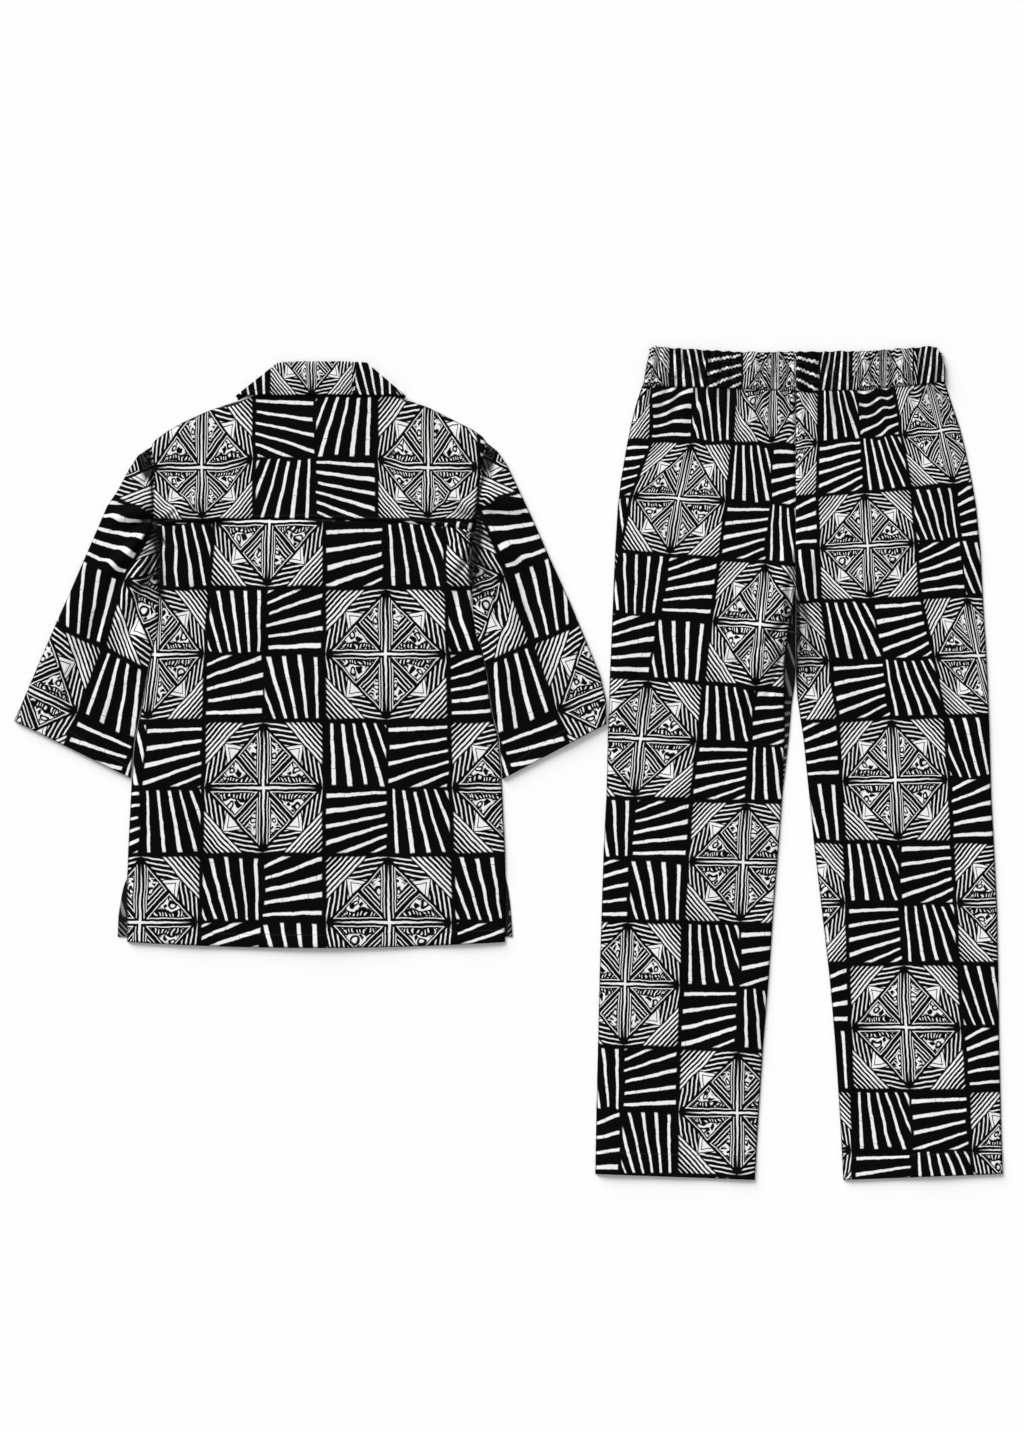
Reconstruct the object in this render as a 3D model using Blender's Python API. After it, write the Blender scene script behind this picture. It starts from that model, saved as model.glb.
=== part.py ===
# A co-ord set laid flat on a surface with its back side up: a short-sleeved shirt with a camp collar,
# and straight trousers with a gathered elastic waistband.
#
# Metres, +Z up. The surface is z = 0. +Y runs from the hems to the collar and the waist, and left and
# right are the wearer's, which a view of the back also shows at the left and the right.
# The shirt's own frame has x = 0 at its placket and y = 0 at the middle of the back hem. The trousers'
# own frame has x = 0 at the seat seam and y = 0 at the leg hems.

import math

import bmesh
import bpy
import numpy as np

# Cloth and how its layers lie
WALL = 0.0012            # cloth wall
SEAM = 0.0003            # gap between two pieces at a seam
AIR = 0.0010             # slack between the front layer and the back layer
EDGE = 0.012             # distance over which the back layer comes down to a side seam
ROUND = 0.0013           # inset of the rounded fold at a tube's edge
TUBE_HEIGHT = 0.0034     # a sleeve as it lies: two walls and the air between them

# Where each garment's frame stands in the set's frame
SHIRT_PLACE = (-0.2381, -0.2313, 0.0)
TROUSERS_PLACE = (0.3594, -0.5188, 0.0)

# Shirt
HEM_SIDE_LEFT = 0.0075   # height of the back hem's ends above its middle
HEM_SIDE_RIGHT = 0.0075
FRONT_HEM = 0.0140       # the front is this much shorter
UNDERARM = 0.390
YOKE_SEAM_LEFT = 0.5275
YOKE_SEAM_RIGHT = 0.5225
YOKE_SEAM_RISE = 0.011   # the yoke seam's middle stands above its ends
SHOULDER_END_LEFT = 0.627
SHOULDER_END_RIGHT = 0.6325
ARM_ROWS_BACK = 8        # rows of the back and of the yoke beside the armhole, which the sleeve shares
ARM_ROWS_YOKE = 5
BODY_ROWS = 16
SIDE_COLUMNS = 9         # columns of the back on each side of the placket's step
SLEEVE_ROWS = 16
FRONT_ROWS = 7
NECK_FRONT = 0.662       # lowest point of the front neckline
NECK_HALF_WIDTH = 0.070
SLIT_TOP = 0.090         # the side seams end here, and the front shows past the back below it

# Placket, its buttons and the step that they make in the layers above
PLACKET_EDGE = 0.015
PLACKET_FLAT = 0.018
PLACKET_FOOT = 0.040
BACK_FOOT = 0.070
BUTTON_RADIUS = 0.0058
BUTTON_THICKNESS = 0.0016
BUTTON_RIM = 0.0004
BUTTON_FIRST = 0.610
BUTTON_PITCH = 0.105
BUTTON_COUNT = 5

# Collar
COLLAR_WALL = 0.0015
COLLAR_FOLD_MIDDLE = 0.0054   # x of the middle of its fold and of its outer edge
COLLAR_EDGE_MIDDLE = 0.0035
COLLAR_CENTRE_UP = 0.660      # its wall at the sides is inset towards this height
COLLAR_REACH = 0.112          # the fronts rest on the collar's points out to here
COLLAR_FADE = 0.150
COLLAR_POINTS = 0.606
COLLAR_POINTS_FADE = 0.575
COLLAR_LEAF_EDGE = 0.690      # lowest edge of the collar's back
COLLAR_SLACK = 0.3            # share of the slack that is left between the layers under the collar
COLLAR_CLEAR = 0.0004         # gap between the yoke and the collar's back

# Trousers
BAND_WALL = 0.0020       # the casing with the elastic in it
BAND_AIR = 0.0008
BAND_GATHER = 0.0020     # height of a gather on the band
LEG_GATHER = 0.0022      # height of the same gather where it runs on below the band
LEG_GATHER_REACH = 0.095
GATHERS = 12             # on each side of the seat seam
GATHER_COLUMNS = 4       # columns of points in each gather
BAND_ROWS = 3
SCALLOP = 0.0012         # the band's top edge rises this much at each gather
SEAT_SEAM_END = 0.700    # the seat seam ends here and the legs part
LEG_HEM_OUTER = 0.0050
LEG_HEM_INNER = -0.0025


def table(columns, rows):
    # Rows of numbers under named columns, as one array for each column
    return dict(zip(columns.split(), np.array(rows, dtype=float).T))


# The shirt's outline: its side edges and armholes at heights above the hem
SHIRT_OUTLINE = table("up left right", [
    (0.0000, -0.2388, 0.2338),
    (0.0850, -0.2388, 0.2344),
    (0.1220, -0.2375, 0.2338),
    (0.2100, -0.2331, 0.2294),
    (0.2600, -0.2288, 0.2260),
    (0.2900, -0.2225, 0.2180),
    (0.3140, -0.2180, 0.2143),
    (0.3410, -0.2138, 0.2113),
    (0.3720, -0.2075, 0.2050),
    (0.3900, -0.2010, 0.1975),
    (0.4210, -0.2000, 0.1938),
    (0.4475, -0.1988, 0.1925),
    (0.4800, -0.1970, 0.1925),
    (0.5090, -0.1990, 0.1930),
    (0.5300, -0.2069, 0.1975),
    (0.5540, -0.2055, 0.1994),
    (0.5800, -0.2039, 0.2019),
    (0.6140, -0.2060, 0.2062),
    (0.6350, -0.2095, 0.2105),
])

# How far the front shows past the back's edge below the side slits
SLIT_SHOW = table("up left right", [
    (0.0000, 0.0125, 0.0100),
    (0.0390, 0.0110, 0.0075),
    (0.0550, 0.0088, 0.0060),
    (0.0720, 0.0058, 0.0038),
    (0.0900, 0.0000, 0.0000),
])

# The yoke's upper edge: both shoulders, and the neck seam between them under the collar
SHOULDERS = table("x up", [
    (-0.2100, 0.6265),
    (-0.2038, 0.6350),
    (-0.1875, 0.6470),
    (-0.1688, 0.6575),
    (-0.1344, 0.6730),
    (-0.1080, 0.6820),
    (-0.1000, 0.6840),
    (-0.0880, 0.6910),
    (-0.0700, 0.7000),
    (0.0700, 0.7020),
    (0.0900, 0.6950),
    (0.1070, 0.6850),
    (0.1180, 0.6830),
    (0.1400, 0.6750),
    (0.1944, 0.6475),
    (0.2050, 0.6400),
    (0.2110, 0.6320),
])

# The outer fold of each sleeve, from the shoulder to the cuff, and the cuff's inner corner
SLEEVES = {
    "left": dict(
        side=-1,
        outer=table("x up", [
            (-0.2250, 0.6160),
            (-0.2375, 0.5970),
            (-0.2500, 0.5730),
            (-0.2638, 0.5525),
            (-0.2788, 0.5175),
            (-0.2925, 0.4860),
            (-0.3106, 0.4438),
            (-0.3260, 0.4100),
            (-0.3800, 0.2838),
        ]),
        cuff_inner=0.2125,
        cuff_gap=0.0048,
    ),
    "right": dict(
        side=1,
        outer=table("x up", [
            (0.2245, 0.6210),
            (0.2363, 0.6038),
            (0.2513, 0.5725),
            (0.2700, 0.5325),
            (0.2913, 0.4838),
            (0.3138, 0.4350),
            (0.3388, 0.3750),
            (0.3530, 0.3400),
            (0.3600, 0.3100),
            (0.3605, 0.2800),
        ]),
        cuff_inner=0.2110,
        cuff_gap=0.0041,
    ),
}

# The collar, from the end of its left wing to the middle of the back: the fold, then the outer edge.
# Its layer is 0 under the fronts, 1 over the yoke and 0.5 where it turns round the side of the neck.
COLLAR = table("fold_x fold_up edge_x edge_up layer", [
    (0.0015, 0.6610, -0.0040, 0.6430, 0.0),
    (-0.0140, 0.6660, -0.0480, 0.6100, 0.0),
    (-0.0320, 0.6840, -0.0780, 0.6400, 0.0),
    (-0.0450, 0.7080, -0.0960, 0.6720, 0.0),
    (-0.0500, 0.7275, -0.1012, 0.6880, 0.0),
    (-0.0515, 0.7295, -0.1030, 0.6898, 0.5),
    (-0.0500, 0.7320, -0.1012, 0.6915, 1.0),
    (-0.0250, 0.7335, -0.0520, 0.6910, 1.0),
    (0.0054, 0.7335, 0.0035, 0.6925, 1.0),
])
COLLAR_ROWS = 3

# The trousers' outline: the outer and inner edges of each back leg at heights above the hem
LEG_OUTLINE = table("up left_outer left_inner right_inner right_outer", [
    (-0.010, -0.2510, -0.0515, 0.0598, 0.2590),
    (0.004, -0.2509, -0.0509, 0.0590, 0.2588),
    (0.079, -0.2496, -0.0466, 0.0550, 0.2566),
    (0.164, -0.2475, -0.0409, 0.0495, 0.2546),
    (0.250, -0.2455, -0.0338, 0.0423, 0.2533),
    (0.336, -0.2429, -0.0279, 0.0323, 0.2518),
    (0.422, -0.2400, -0.0208, 0.0223, 0.2475),
    (0.476, -0.2370, -0.0169, 0.0169, 0.2446),
    (0.550, -0.2353, -0.0138, 0.0094, 0.2425),
    (0.600, -0.2335, -0.0140, 0.0019, 0.2408),
    (0.625, -0.2328, -0.0140, 0.0002, 0.2398),
    (0.660, -0.2312, -0.0120, 0.0002, 0.2380),
    (0.691, -0.2300, -0.0080, 0.0002, 0.2360),
    (0.715, -0.2290, -0.0030, 0.0002, 0.2345),
    (0.740, -0.2280, -0.0002, 0.0002, 0.2332),
    (0.785, -0.2260, -0.0002, 0.0002, 0.2310),
    (0.840, -0.2226, -0.0002, 0.0002, 0.2254),
    (0.872, -0.2190, -0.0002, 0.0002, 0.2200),
    (0.915, -0.2116, -0.0002, 0.0002, 0.2110),
    (0.938, -0.2070, -0.0002, 0.0002, 0.2050),
    (0.965, -0.2006, -0.0002, 0.0002, 0.1960),
    (0.987, -0.1934, -0.0002, 0.0002, 0.1888),
    (1.000, -0.1910, -0.0002, 0.0002, 0.1850),
])

# How far the left front leg shows past the back one at the inside of the leg
INSEAM_SHOW = table("up width", [
    (0.476, 0.0000),
    (0.550, 0.0060),
    (0.625, 0.0085),
    (0.691, 0.0060),
    (0.740, 0.0000),
])

# The waistband's lower and upper edges across the back
BAND = table("x lower upper", [
    (-0.1920, 0.9900, 1.0300),
    (-0.1820, 0.9900, 1.0370),
    (-0.1760, 0.9896, 1.0402),
    (-0.1550, 0.9890, 1.0376),
    (-0.1110, 0.9885, 1.0350),
    (-0.0650, 0.9865, 1.0325),
    (0.0050, 0.9838, 1.0330),
    (0.0840, 0.9850, 1.0338),
    (0.1490, 0.9915, 1.0380),
    (0.1680, 0.9935, 1.0405),
    (0.1760, 0.9944, 1.0375),
    (0.1830, 0.9950, 1.0300),
    (0.1890, 0.9956, 1.0250),
])
BAND_LEFT = table("share x", [(0.0, -0.1912), (0.6, -0.1870), (1.0, -0.1820)])
BAND_RIGHT = table("share x", [(0.0, 0.1868), (0.6, 0.1868), (1.0, 0.1810)])

# The largest folds, each a soft ridge from one end to the other
SHIRT_FOLDS = table("x1 up1 x2 up2 width height", [
    (-0.196, 0.530, -0.150, 0.566, 0.018, 0.0028),
    (-0.192, 0.505, -0.158, 0.450, 0.018, 0.0024),
    (-0.190, 0.420, -0.178, 0.330, 0.020, 0.0020),
    (0.188, 0.545, 0.146, 0.580, 0.018, 0.0028),
    (0.184, 0.505, 0.160, 0.435, 0.020, 0.0026),
    (0.186, 0.430, 0.190, 0.340, 0.020, 0.0020),
    (-0.130, 0.300, -0.090, 0.130, 0.042, 0.0014),
    (0.090, 0.350, 0.135, 0.180, 0.045, 0.0014),
    (-0.040, 0.440, -0.100, 0.360, 0.040, 0.0011),
    (0.120, 0.120, 0.195, 0.050, 0.038, 0.0013),
    (-0.200, 0.190, -0.165, 0.060, 0.034, 0.0013),
    (-0.216, 0.540, -0.262, 0.528, 0.016, 0.0029),
    (-0.214, 0.518, -0.268, 0.470, 0.017, 0.0028),
    (-0.210, 0.488, -0.254, 0.400, 0.018, 0.0027),
    (-0.210, 0.430, -0.236, 0.345, 0.018, 0.0023),
    (-0.290, 0.440, -0.335, 0.330, 0.030, 0.0016),
    (0.206, 0.556, 0.256, 0.540, 0.016, 0.0029),
    (0.203, 0.528, 0.262, 0.480, 0.018, 0.0029),
    (0.202, 0.496, 0.250, 0.405, 0.019, 0.0028),
    (0.204, 0.440, 0.236, 0.350, 0.018, 0.0023),
    (0.280, 0.440, 0.318, 0.330, 0.030, 0.0016),
])
TROUSERS_FOLDS = table("x1 up1 x2 up2 width height", [
    (-0.006, 0.770, -0.008, 0.700, 0.018, 0.0029),
    (-0.016, 0.706, -0.095, 0.655, 0.024, 0.0026),
    (-0.018, 0.684, -0.072, 0.590, 0.022, 0.0022),
    (0.012, 0.712, 0.090, 0.665, 0.024, 0.0026),
    (0.014, 0.690, 0.066, 0.590, 0.022, 0.0022),
    (-0.150, 0.520, -0.120, 0.310, 0.045, 0.0013),
    (-0.075, 0.300, -0.095, 0.110, 0.040, 0.0012),
    (0.110, 0.530, 0.150, 0.330, 0.045, 0.0013),
    (0.180, 0.260, 0.160, 0.100, 0.042, 0.0012),
    (-0.192, 0.890, -0.150, 0.810, 0.026, 0.0016),
    (0.188, 0.890, 0.150, 0.810, 0.026, 0.0016),
])


def smooth(value, start, end):
    # Goes from 0 at start to 1 at end with level ends
    share = np.clip((value - start) / (end - start), 0.0, 1.0)
    return share * share * (3.0 - 2.0 * share)


def read(rows, value, column, key="up"):
    # A column of a table at heights or places between its rows
    return np.interp(value, rows[key], rows[column])


def fold_height(folds, x, up):
    # Sum of the ridges: full on the line between a fold's ends, and nothing at its width away from it
    total = np.zeros_like(x)
    for i in range(len(folds["x1"])):
        x1, up1, x2, up2, width, height = (folds[c][i] for c in ("x1", "up1", "x2", "up2", "width", "height"))
        run_x, run_up = x2 - x1, up2 - up1
        share = ((x - x1) * run_x + (up - up1) * run_up) / (run_x ** 2 + run_up ** 2)
        share = np.clip(share, 0.0, 1.0)
        away = np.hypot(x - x1 - share * run_x, up - up1 - share * run_up)
        total += height * np.clip(1.0 - (away / width) ** 2, 0.0, 1.0) ** 2
    return total


# Heights of the layers

def over_collar(x, up):
    # 1 where the collar's two points lie under the fronts, and 0 away from them
    across = 1.0 - smooth(np.abs(x - COLLAR_EDGE_MIDDLE), COLLAR_REACH, COLLAR_FADE)
    return across * smooth(up, COLLAR_POINTS_FADE, COLLAR_POINTS)


def collar_lift(x, up):
    # The fronts lie on the collar's points, so that the collar rests on the surface
    return (COLLAR_WALL + SEAM) * over_collar(x, up)


def front_under(x, up, name):
    # Underside of a front: flat on the surface, up over the buttons at the placket. The left front is
    # the outer one, and the right front's edge lies on it.
    lift = BUTTON_THICKNESS + SEAM
    if name == "right":
        lift += WALL + SEAM
    at_placket = 1.0 - smooth(np.abs(x), PLACKET_FLAT, PLACKET_FOOT)
    return np.maximum(collar_lift(x, up), lift * at_placket)


def shirt_back_under(x, up):
    # Underside of the back and the yoke, over both fronts. It comes down to the side seams and the
    # shoulder seams, and stays up beside the armholes, where it runs on into the sleeve.
    left, right = read(SHIRT_OUTLINE, up, "left"), read(SHIRT_OUTLINE, up, "right")
    side = np.minimum(x - left, right - x)
    at_side = 1.0 - smooth(up, UNDERARM - 0.05, UNDERARM)
    shoulder = read(SHOULDERS, x, "up", "x") - up
    inside = np.minimum(np.where(at_side > 0, smooth(side, 0.0, EDGE) * at_side + (1 - at_side), 1.0),
                        smooth(shoulder, 0.0, EDGE))
    placket = (BUTTON_THICKNESS + SEAM + WALL + SEAM) * (1.0 - smooth(np.abs(x), PLACKET_FLAT, BACK_FOOT))
    placket = placket * (1.0 - smooth(up, NECK_FRONT + 0.002, COLLAR_LEAF_EDGE))
    lift = np.maximum(collar_lift(x, up), placket)
    slack = AIR * (1.0 - (1.0 - COLLAR_SLACK) * over_collar(x, up))
    return WALL + SEAM + lift + inside * (slack + fold_height(SHIRT_FOLDS, x, up))


def sleeve_top(x, up):
    return TUBE_HEIGHT + fold_height(SHIRT_FOLDS, x, up)


def gather_wave(share):
    # Height of the gathers, 0 to 1, at a share of the way from the side seam to the seat seam. Their
    # count runs a little ahead and behind, so they are unevenly spaced, and some stand higher.
    count = GATHERS * (share + 0.018 * np.sin(2 * math.pi * 2 * share) + 0.010 * np.sin(2 * math.pi * 5 * share))
    tall = 0.80 + 0.20 * np.sin(2.3 * count + 0.7)
    return tall * (0.5 - 0.5 * np.cos(2 * math.pi * count)), count


def gather_shares():
    # Shares with GATHER_COLUMNS columns to each gather, on its foot, sides and top
    fine = np.linspace(0.0, 1.0, 2001)
    wanted = np.arange(GATHERS * GATHER_COLUMNS + 1) / GATHER_COLUMNS
    return np.interp(wanted, gather_wave(fine)[1], fine)


def leg_back_under(x, up, side, share):
    # Underside of a back leg over the front leg. It comes down to the side seam and the inseam, and
    # the gathers run on from the waistband and fade.
    outer, inner = read(LEG_OUTLINE, up, side + "_outer"), read(LEG_OUTLINE, up, side + "_inner")
    at_inseam = 1.0 - smooth(up, SEAT_SEAM_END - 0.06, SEAT_SEAM_END)
    inseam = smooth(np.abs(x - inner), 0.0, EDGE) * at_inseam + (1.0 - at_inseam)
    inside = np.minimum(smooth(np.abs(x - outer), 0.0, EDGE), inseam)
    below = read(BAND, x, "lower", "x") - up
    gathers = LEG_GATHER * gather_wave(share)[0] * (1.0 - smooth(below, 0.0, LEG_GATHER_REACH))
    return WALL + SEAM + gathers + inside * (AIR + fold_height(TROUSERS_FOLDS, x, up))


# Walls

def rows_to_verts(mesh, skin):
    return [[mesh.verts.new(point) for point in row] for row in skin]


def skin_faces(mesh, verts, ring):
    # Faces between each row and the next. A row may have several columns for each one of the next.
    for upper, lower in zip(verts, verts[1:]):
        if ring:
            upper, lower = upper + upper[:1], lower + lower[:1]
        each = (len(upper) - 1) // (len(lower) - 1)
        for i in range(len(lower) - 1):
            fine = upper[i * each:(i + 1) * each + 1]
            mesh.faces.new(fine + [lower[i + 1], lower[i]])


def wall(name, outer, inner, place, colour, ring=False):
    # A closed solid between two skins with the same rows and columns of points, loft by loft
    mesh = bmesh.new()
    outer_verts = rows_to_verts(mesh, outer)
    skin_faces(mesh, outer_verts, ring)
    rim = [edge for edge in mesh.edges if edge.is_boundary]
    inner_verts = rows_to_verts(mesh, inner)
    skin_faces(mesh, inner_verts, ring)
    partner = {}
    for outer_row, inner_row in zip(outer_verts, inner_verts):
        partner.update(zip(outer_row, inner_row))
    for edge in rim:
        a, b = edge.verts
        mesh.faces.new((a, b, partner[b], partner[a]))
    bmesh.ops.recalc_face_normals(mesh, faces=mesh.faces)
    return finish(name, mesh, place, colour)


def finish(name, mesh, place, colour):
    # An object from a bmesh, in the set's collection, with its own material
    data = bpy.data.meshes.new(name)
    mesh.to_mesh(data)
    mesh.free()
    data.shade_smooth()
    data.set_sharp_from_angle(angle=math.radians(40))
    piece = bpy.data.objects.new(name, data)
    piece.parent = place
    place.users_collection[0].objects.link(piece)
    material = bpy.data.materials.new(name + "_material")
    material.use_nodes = True
    surface = material.node_tree.nodes["Principled BSDF"]
    surface.inputs["Base Color"].default_value = (*colour, 1.0)
    surface.inputs["Roughness"].default_value = 0.85 if colour == CLOTH else 0.35
    surface.inputs["Metallic"].default_value = 0.0
    data.materials.append(material)
    return piece


CLOTH = (0.16, 0.16, 0.165)      # the black and off-white print, mixed
BUTTON_BLACK = (0.02, 0.02, 0.022)


def panel(name, plan, under, place):
    # A cloth panel: plan is rows of x and y, under gives the underside's height there. Where the cloth
    # slopes, its height is raised so that the wall keeps its thickness.
    upper, lower = [], []
    step = 0.001
    for row in plan:
        x, y = row[:, 0], row[:, 1]
        z = under(x, y)
        slope = np.hypot(under(x + step, y) - z, under(x, y + step) - z) / step
        height = WALL * np.sqrt(1.0 + np.minimum(slope, 1.0) ** 2)
        lower.append(np.column_stack([x, y, z]))
        upper.append(np.column_stack([x, y, z + height]))
    return wall(name, upper, lower, place, CLOTH)


# Shirt

def back_columns(left, right):
    # x of the columns of the back and the yoke, close together over the placket
    centre = [-BACK_FOOT, -(BACK_FOOT + PLACKET_FLAT) / 2, -PLACKET_FLAT, 0.0]
    centre = centre + [-x for x in centre[-2::-1]]
    outward = np.linspace(0.0, 1.0, SIDE_COLUMNS + 1)
    return np.concatenate([left + (centre[0] - left) * outward[:-1], centre,
                           centre[-1] + (right - centre[-1]) * outward[1:]])


def bow(x, left, right):
    # 1 in the middle of a row and 0 at its ends
    share = (x - left) / (right - left)
    return 4.0 * share * (1.0 - share)


def body_rows(hem, seam, rows):
    # Heights of a side edge's points: hem to underarm, then the armhole up to the yoke seam
    return np.concatenate([np.linspace(hem, UNDERARM, rows + 1),
                           np.linspace(UNDERARM, seam, ARM_ROWS_BACK + 1)[1:]])


def yoke_rows(seam, shoulder):
    return np.linspace(seam, shoulder, ARM_ROWS_YOKE + 1)


def yoke_seam(x, left, right):
    share = (x - left) / (right - left)
    ends = YOKE_SEAM_LEFT + (YOKE_SEAM_RIGHT - YOKE_SEAM_LEFT) * share
    return ends + YOKE_SEAM_RISE * bow(x, left, right)


def make_shirt_back(place):
    left_up = body_rows(HEM_SIDE_LEFT, YOKE_SEAM_LEFT, BODY_ROWS)
    right_up = body_rows(HEM_SIDE_RIGHT, YOKE_SEAM_RIGHT, BODY_ROWS)
    plan = []
    for i in range(len(left_up)):
        left = read(SHIRT_OUTLINE, left_up[i], "left")
        right = read(SHIRT_OUTLINE, right_up[i], "right")
        x = back_columns(left, right)
        share = (x - left) / (right - left)
        way_up = i / (len(left_up) - 1)
        curve = YOKE_SEAM_RISE * way_up - HEM_SIDE_LEFT * (1.0 - way_up)
        y = left_up[i] + (right_up[i] - left_up[i]) * share + curve * bow(x, left, right)
        plan.append(np.column_stack([x, y - (SEAM if i == len(left_up) - 1 else 0.0)]))
    panel("shirt_back", plan, shirt_back_under, place)


def make_yoke(place):
    left_up = yoke_rows(YOKE_SEAM_LEFT, SHOULDER_END_LEFT)
    right_up = yoke_rows(YOKE_SEAM_RIGHT, SHOULDER_END_RIGHT)
    top_left = read(SHIRT_OUTLINE, SHOULDER_END_LEFT, "left")
    top_right = read(SHIRT_OUTLINE, SHOULDER_END_RIGHT, "right")
    top_x = back_columns(top_left, top_right)
    top_y = read(SHOULDERS, top_x, "up", "x")
    top_y[0], top_y[-1] = SHOULDER_END_LEFT, SHOULDER_END_RIGHT
    plan = []
    for i in range(ARM_ROWS_YOKE + 1):
        left = read(SHIRT_OUTLINE, left_up[i], "left")
        right = read(SHIRT_OUTLINE, right_up[i], "right")
        x = back_columns(left, right)
        way_up = i / ARM_ROWS_YOKE
        seam_y = yoke_seam(x, left, right)
        y = seam_y + (top_y - seam_y) * way_up
        plan.append(np.column_stack([x, y]))
    panel("shirt_yoke", plan, shirt_back_under, place)


def front_top(x):
    # The shoulder seam, and the front neckline's scoop between the shoulders
    shoulder = read(SHOULDERS, x, "up", "x")
    away = np.abs(x - COLLAR_EDGE_MIDDLE) / NECK_HALF_WIDTH
    neck = NECK_FRONT + (read(SHOULDERS, NECK_HALF_WIDTH, "up", "x") - NECK_FRONT) * away ** 2
    return np.where(away < 1.0, np.minimum(neck, shoulder), shoulder)


def make_front(name, side, place):
    # The front runs from its side edge past the middle to the placket's edge
    sign = -1 if side == "left" else 1
    seam = YOKE_SEAM_LEFT if side == "left" else YOKE_SEAM_RIGHT
    shoulder = SHOULDER_END_LEFT if side == "left" else SHOULDER_END_RIGHT
    side_up = np.concatenate([body_rows(FRONT_HEM, seam, FRONT_ROWS), yoke_rows(seam, shoulder)[1:]])
    side_up = np.sort(np.append(side_up, SLIT_TOP))
    inner = np.array([PLACKET_FOOT, (PLACKET_FOOT + PLACKET_FLAT) / 2, PLACKET_FLAT, -PLACKET_EDGE]) * sign
    plan = []
    edge_top = read(SHIRT_OUTLINE, shoulder, side)
    top_x = np.concatenate([np.linspace(edge_top, inner[0], 6)[:-1], inner])
    top_y = front_top(top_x)
    top_y[0] = shoulder
    for i, up in enumerate(side_up):
        edge = read(SHIRT_OUTLINE, up, side) + sign * read(SLIT_SHOW, up, side)
        x = np.concatenate([np.linspace(edge, inner[0], 6)[:-1], inner])
        way_up = (up - FRONT_HEM) / (shoulder - FRONT_HEM)
        y = up + (top_y - shoulder) * smooth(way_up, 0.45, 1.0)
        plan.append(np.column_stack([x, y]))
    panel(name, plan, lambda x, y: front_under(x, y, side), place)


def curve_points(x, y, count):
    # Points at even distances along a line through the points given
    run = np.concatenate([[0.0], np.cumsum(np.hypot(np.diff(x), np.diff(y)))])
    at = np.linspace(0.0, run[-1], count)
    return np.column_stack([np.interp(at, run, x), np.interp(at, run, y)])


def sleeve_plan(side):
    # The flattened sleeve's points, rows from the armhole to the cuff and columns from the outer fold
    # to the underarm: a patch blended from its four edges
    data = SLEEVES[side]
    sign = data["side"]
    seam, shoulder = (YOKE_SEAM_LEFT, SHOULDER_END_LEFT) if side == "left" else (YOKE_SEAM_RIGHT, SHOULDER_END_RIGHT)
    arm_up = np.concatenate([yoke_rows(seam, shoulder)[::-1], body_rows(HEM_SIDE_LEFT, seam, BODY_ROWS)[-2::-1]])
    arm_up = arm_up[:ARM_ROWS_YOKE + ARM_ROWS_BACK + 1]
    armhole = np.column_stack([read(SHIRT_OUTLINE, arm_up, side) + sign * 1.4 * SEAM, arm_up])
    outer = curve_points(np.append(armhole[0, 0], data["outer"]["x"]),
                         np.append(armhole[0, 1], data["outer"]["up"]), SLEEVE_ROWS + 1)
    way = np.linspace(0.0, 1.0, SLEEVE_ROWS + 1)
    inner_up = UNDERARM + (data["cuff_inner"] - UNDERARM) * way
    gap = 1.4 * SEAM + (data["cuff_gap"] - 1.4 * SEAM) * way ** 0.6
    inner = np.column_stack([read(SHIRT_OUTLINE, inner_up, side) + sign * gap, inner_up])
    share = np.linspace(0.0, 1.0, len(arm_up))
    cuff = outer[-1] + (inner[-1] - outer[-1]) * share[:, None]
    s, w = share[None, :, None], way[:, None, None]
    patch = (1 - s) * outer[:, None] + s * inner[:, None] + (1 - w) * armhole[None] + w * cuff[None]
    corners = (1 - s) * (1 - w) * armhole[0] + s * (1 - w) * armhole[-1] + (1 - s) * w * cuff[0] + s * w * cuff[-1]
    return patch - corners


def flat_tube(plan, top, wall_thickness, height):
    # Skins of a flattened tube: for each row, over the top and back along the surface, with a rounded
    # fold at both ends
    outer, inner = [], []
    for row in plan:
        along = (row[-1] - row[0]) / np.linalg.norm(row[-1] - row[0])
        over, under = row.copy(), row.copy()
        over[0], over[-1] = row[0] + along * ROUND, row[-1] - along * ROUND
        z = top(over[:, 0], over[:, 1])
        less = 0.5 * wall_thickness * along
        tight = over.copy()
        tight[0], tight[-1] = over[0] + less, over[-1] - less
        middle = height / 2
        ends = [np.append(row[0], middle), np.append(row[-1], middle)]
        ends_in = [np.append(row[0] + along * wall_thickness, middle), np.append(row[-1] - along * wall_thickness, middle)]
        above = np.column_stack([over, z])
        above_in = np.column_stack([tight, z - wall_thickness])
        below = np.column_stack([over, np.zeros(len(z))])[::-1]
        below_in = np.column_stack([tight, np.full(len(z), wall_thickness)])[::-1]
        outer.append(np.vstack([ends[0], above, ends[1], below]))
        inner.append(np.vstack([ends_in[0], above_in, ends_in[1], below_in]))
    return outer, inner


def make_sleeve(name, side, place):
    outer, inner = flat_tube(sleeve_plan(side), sleeve_top, WALL, TUBE_HEIGHT)
    wall(name, outer, inner, place, CLOTH, ring=True)


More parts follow.
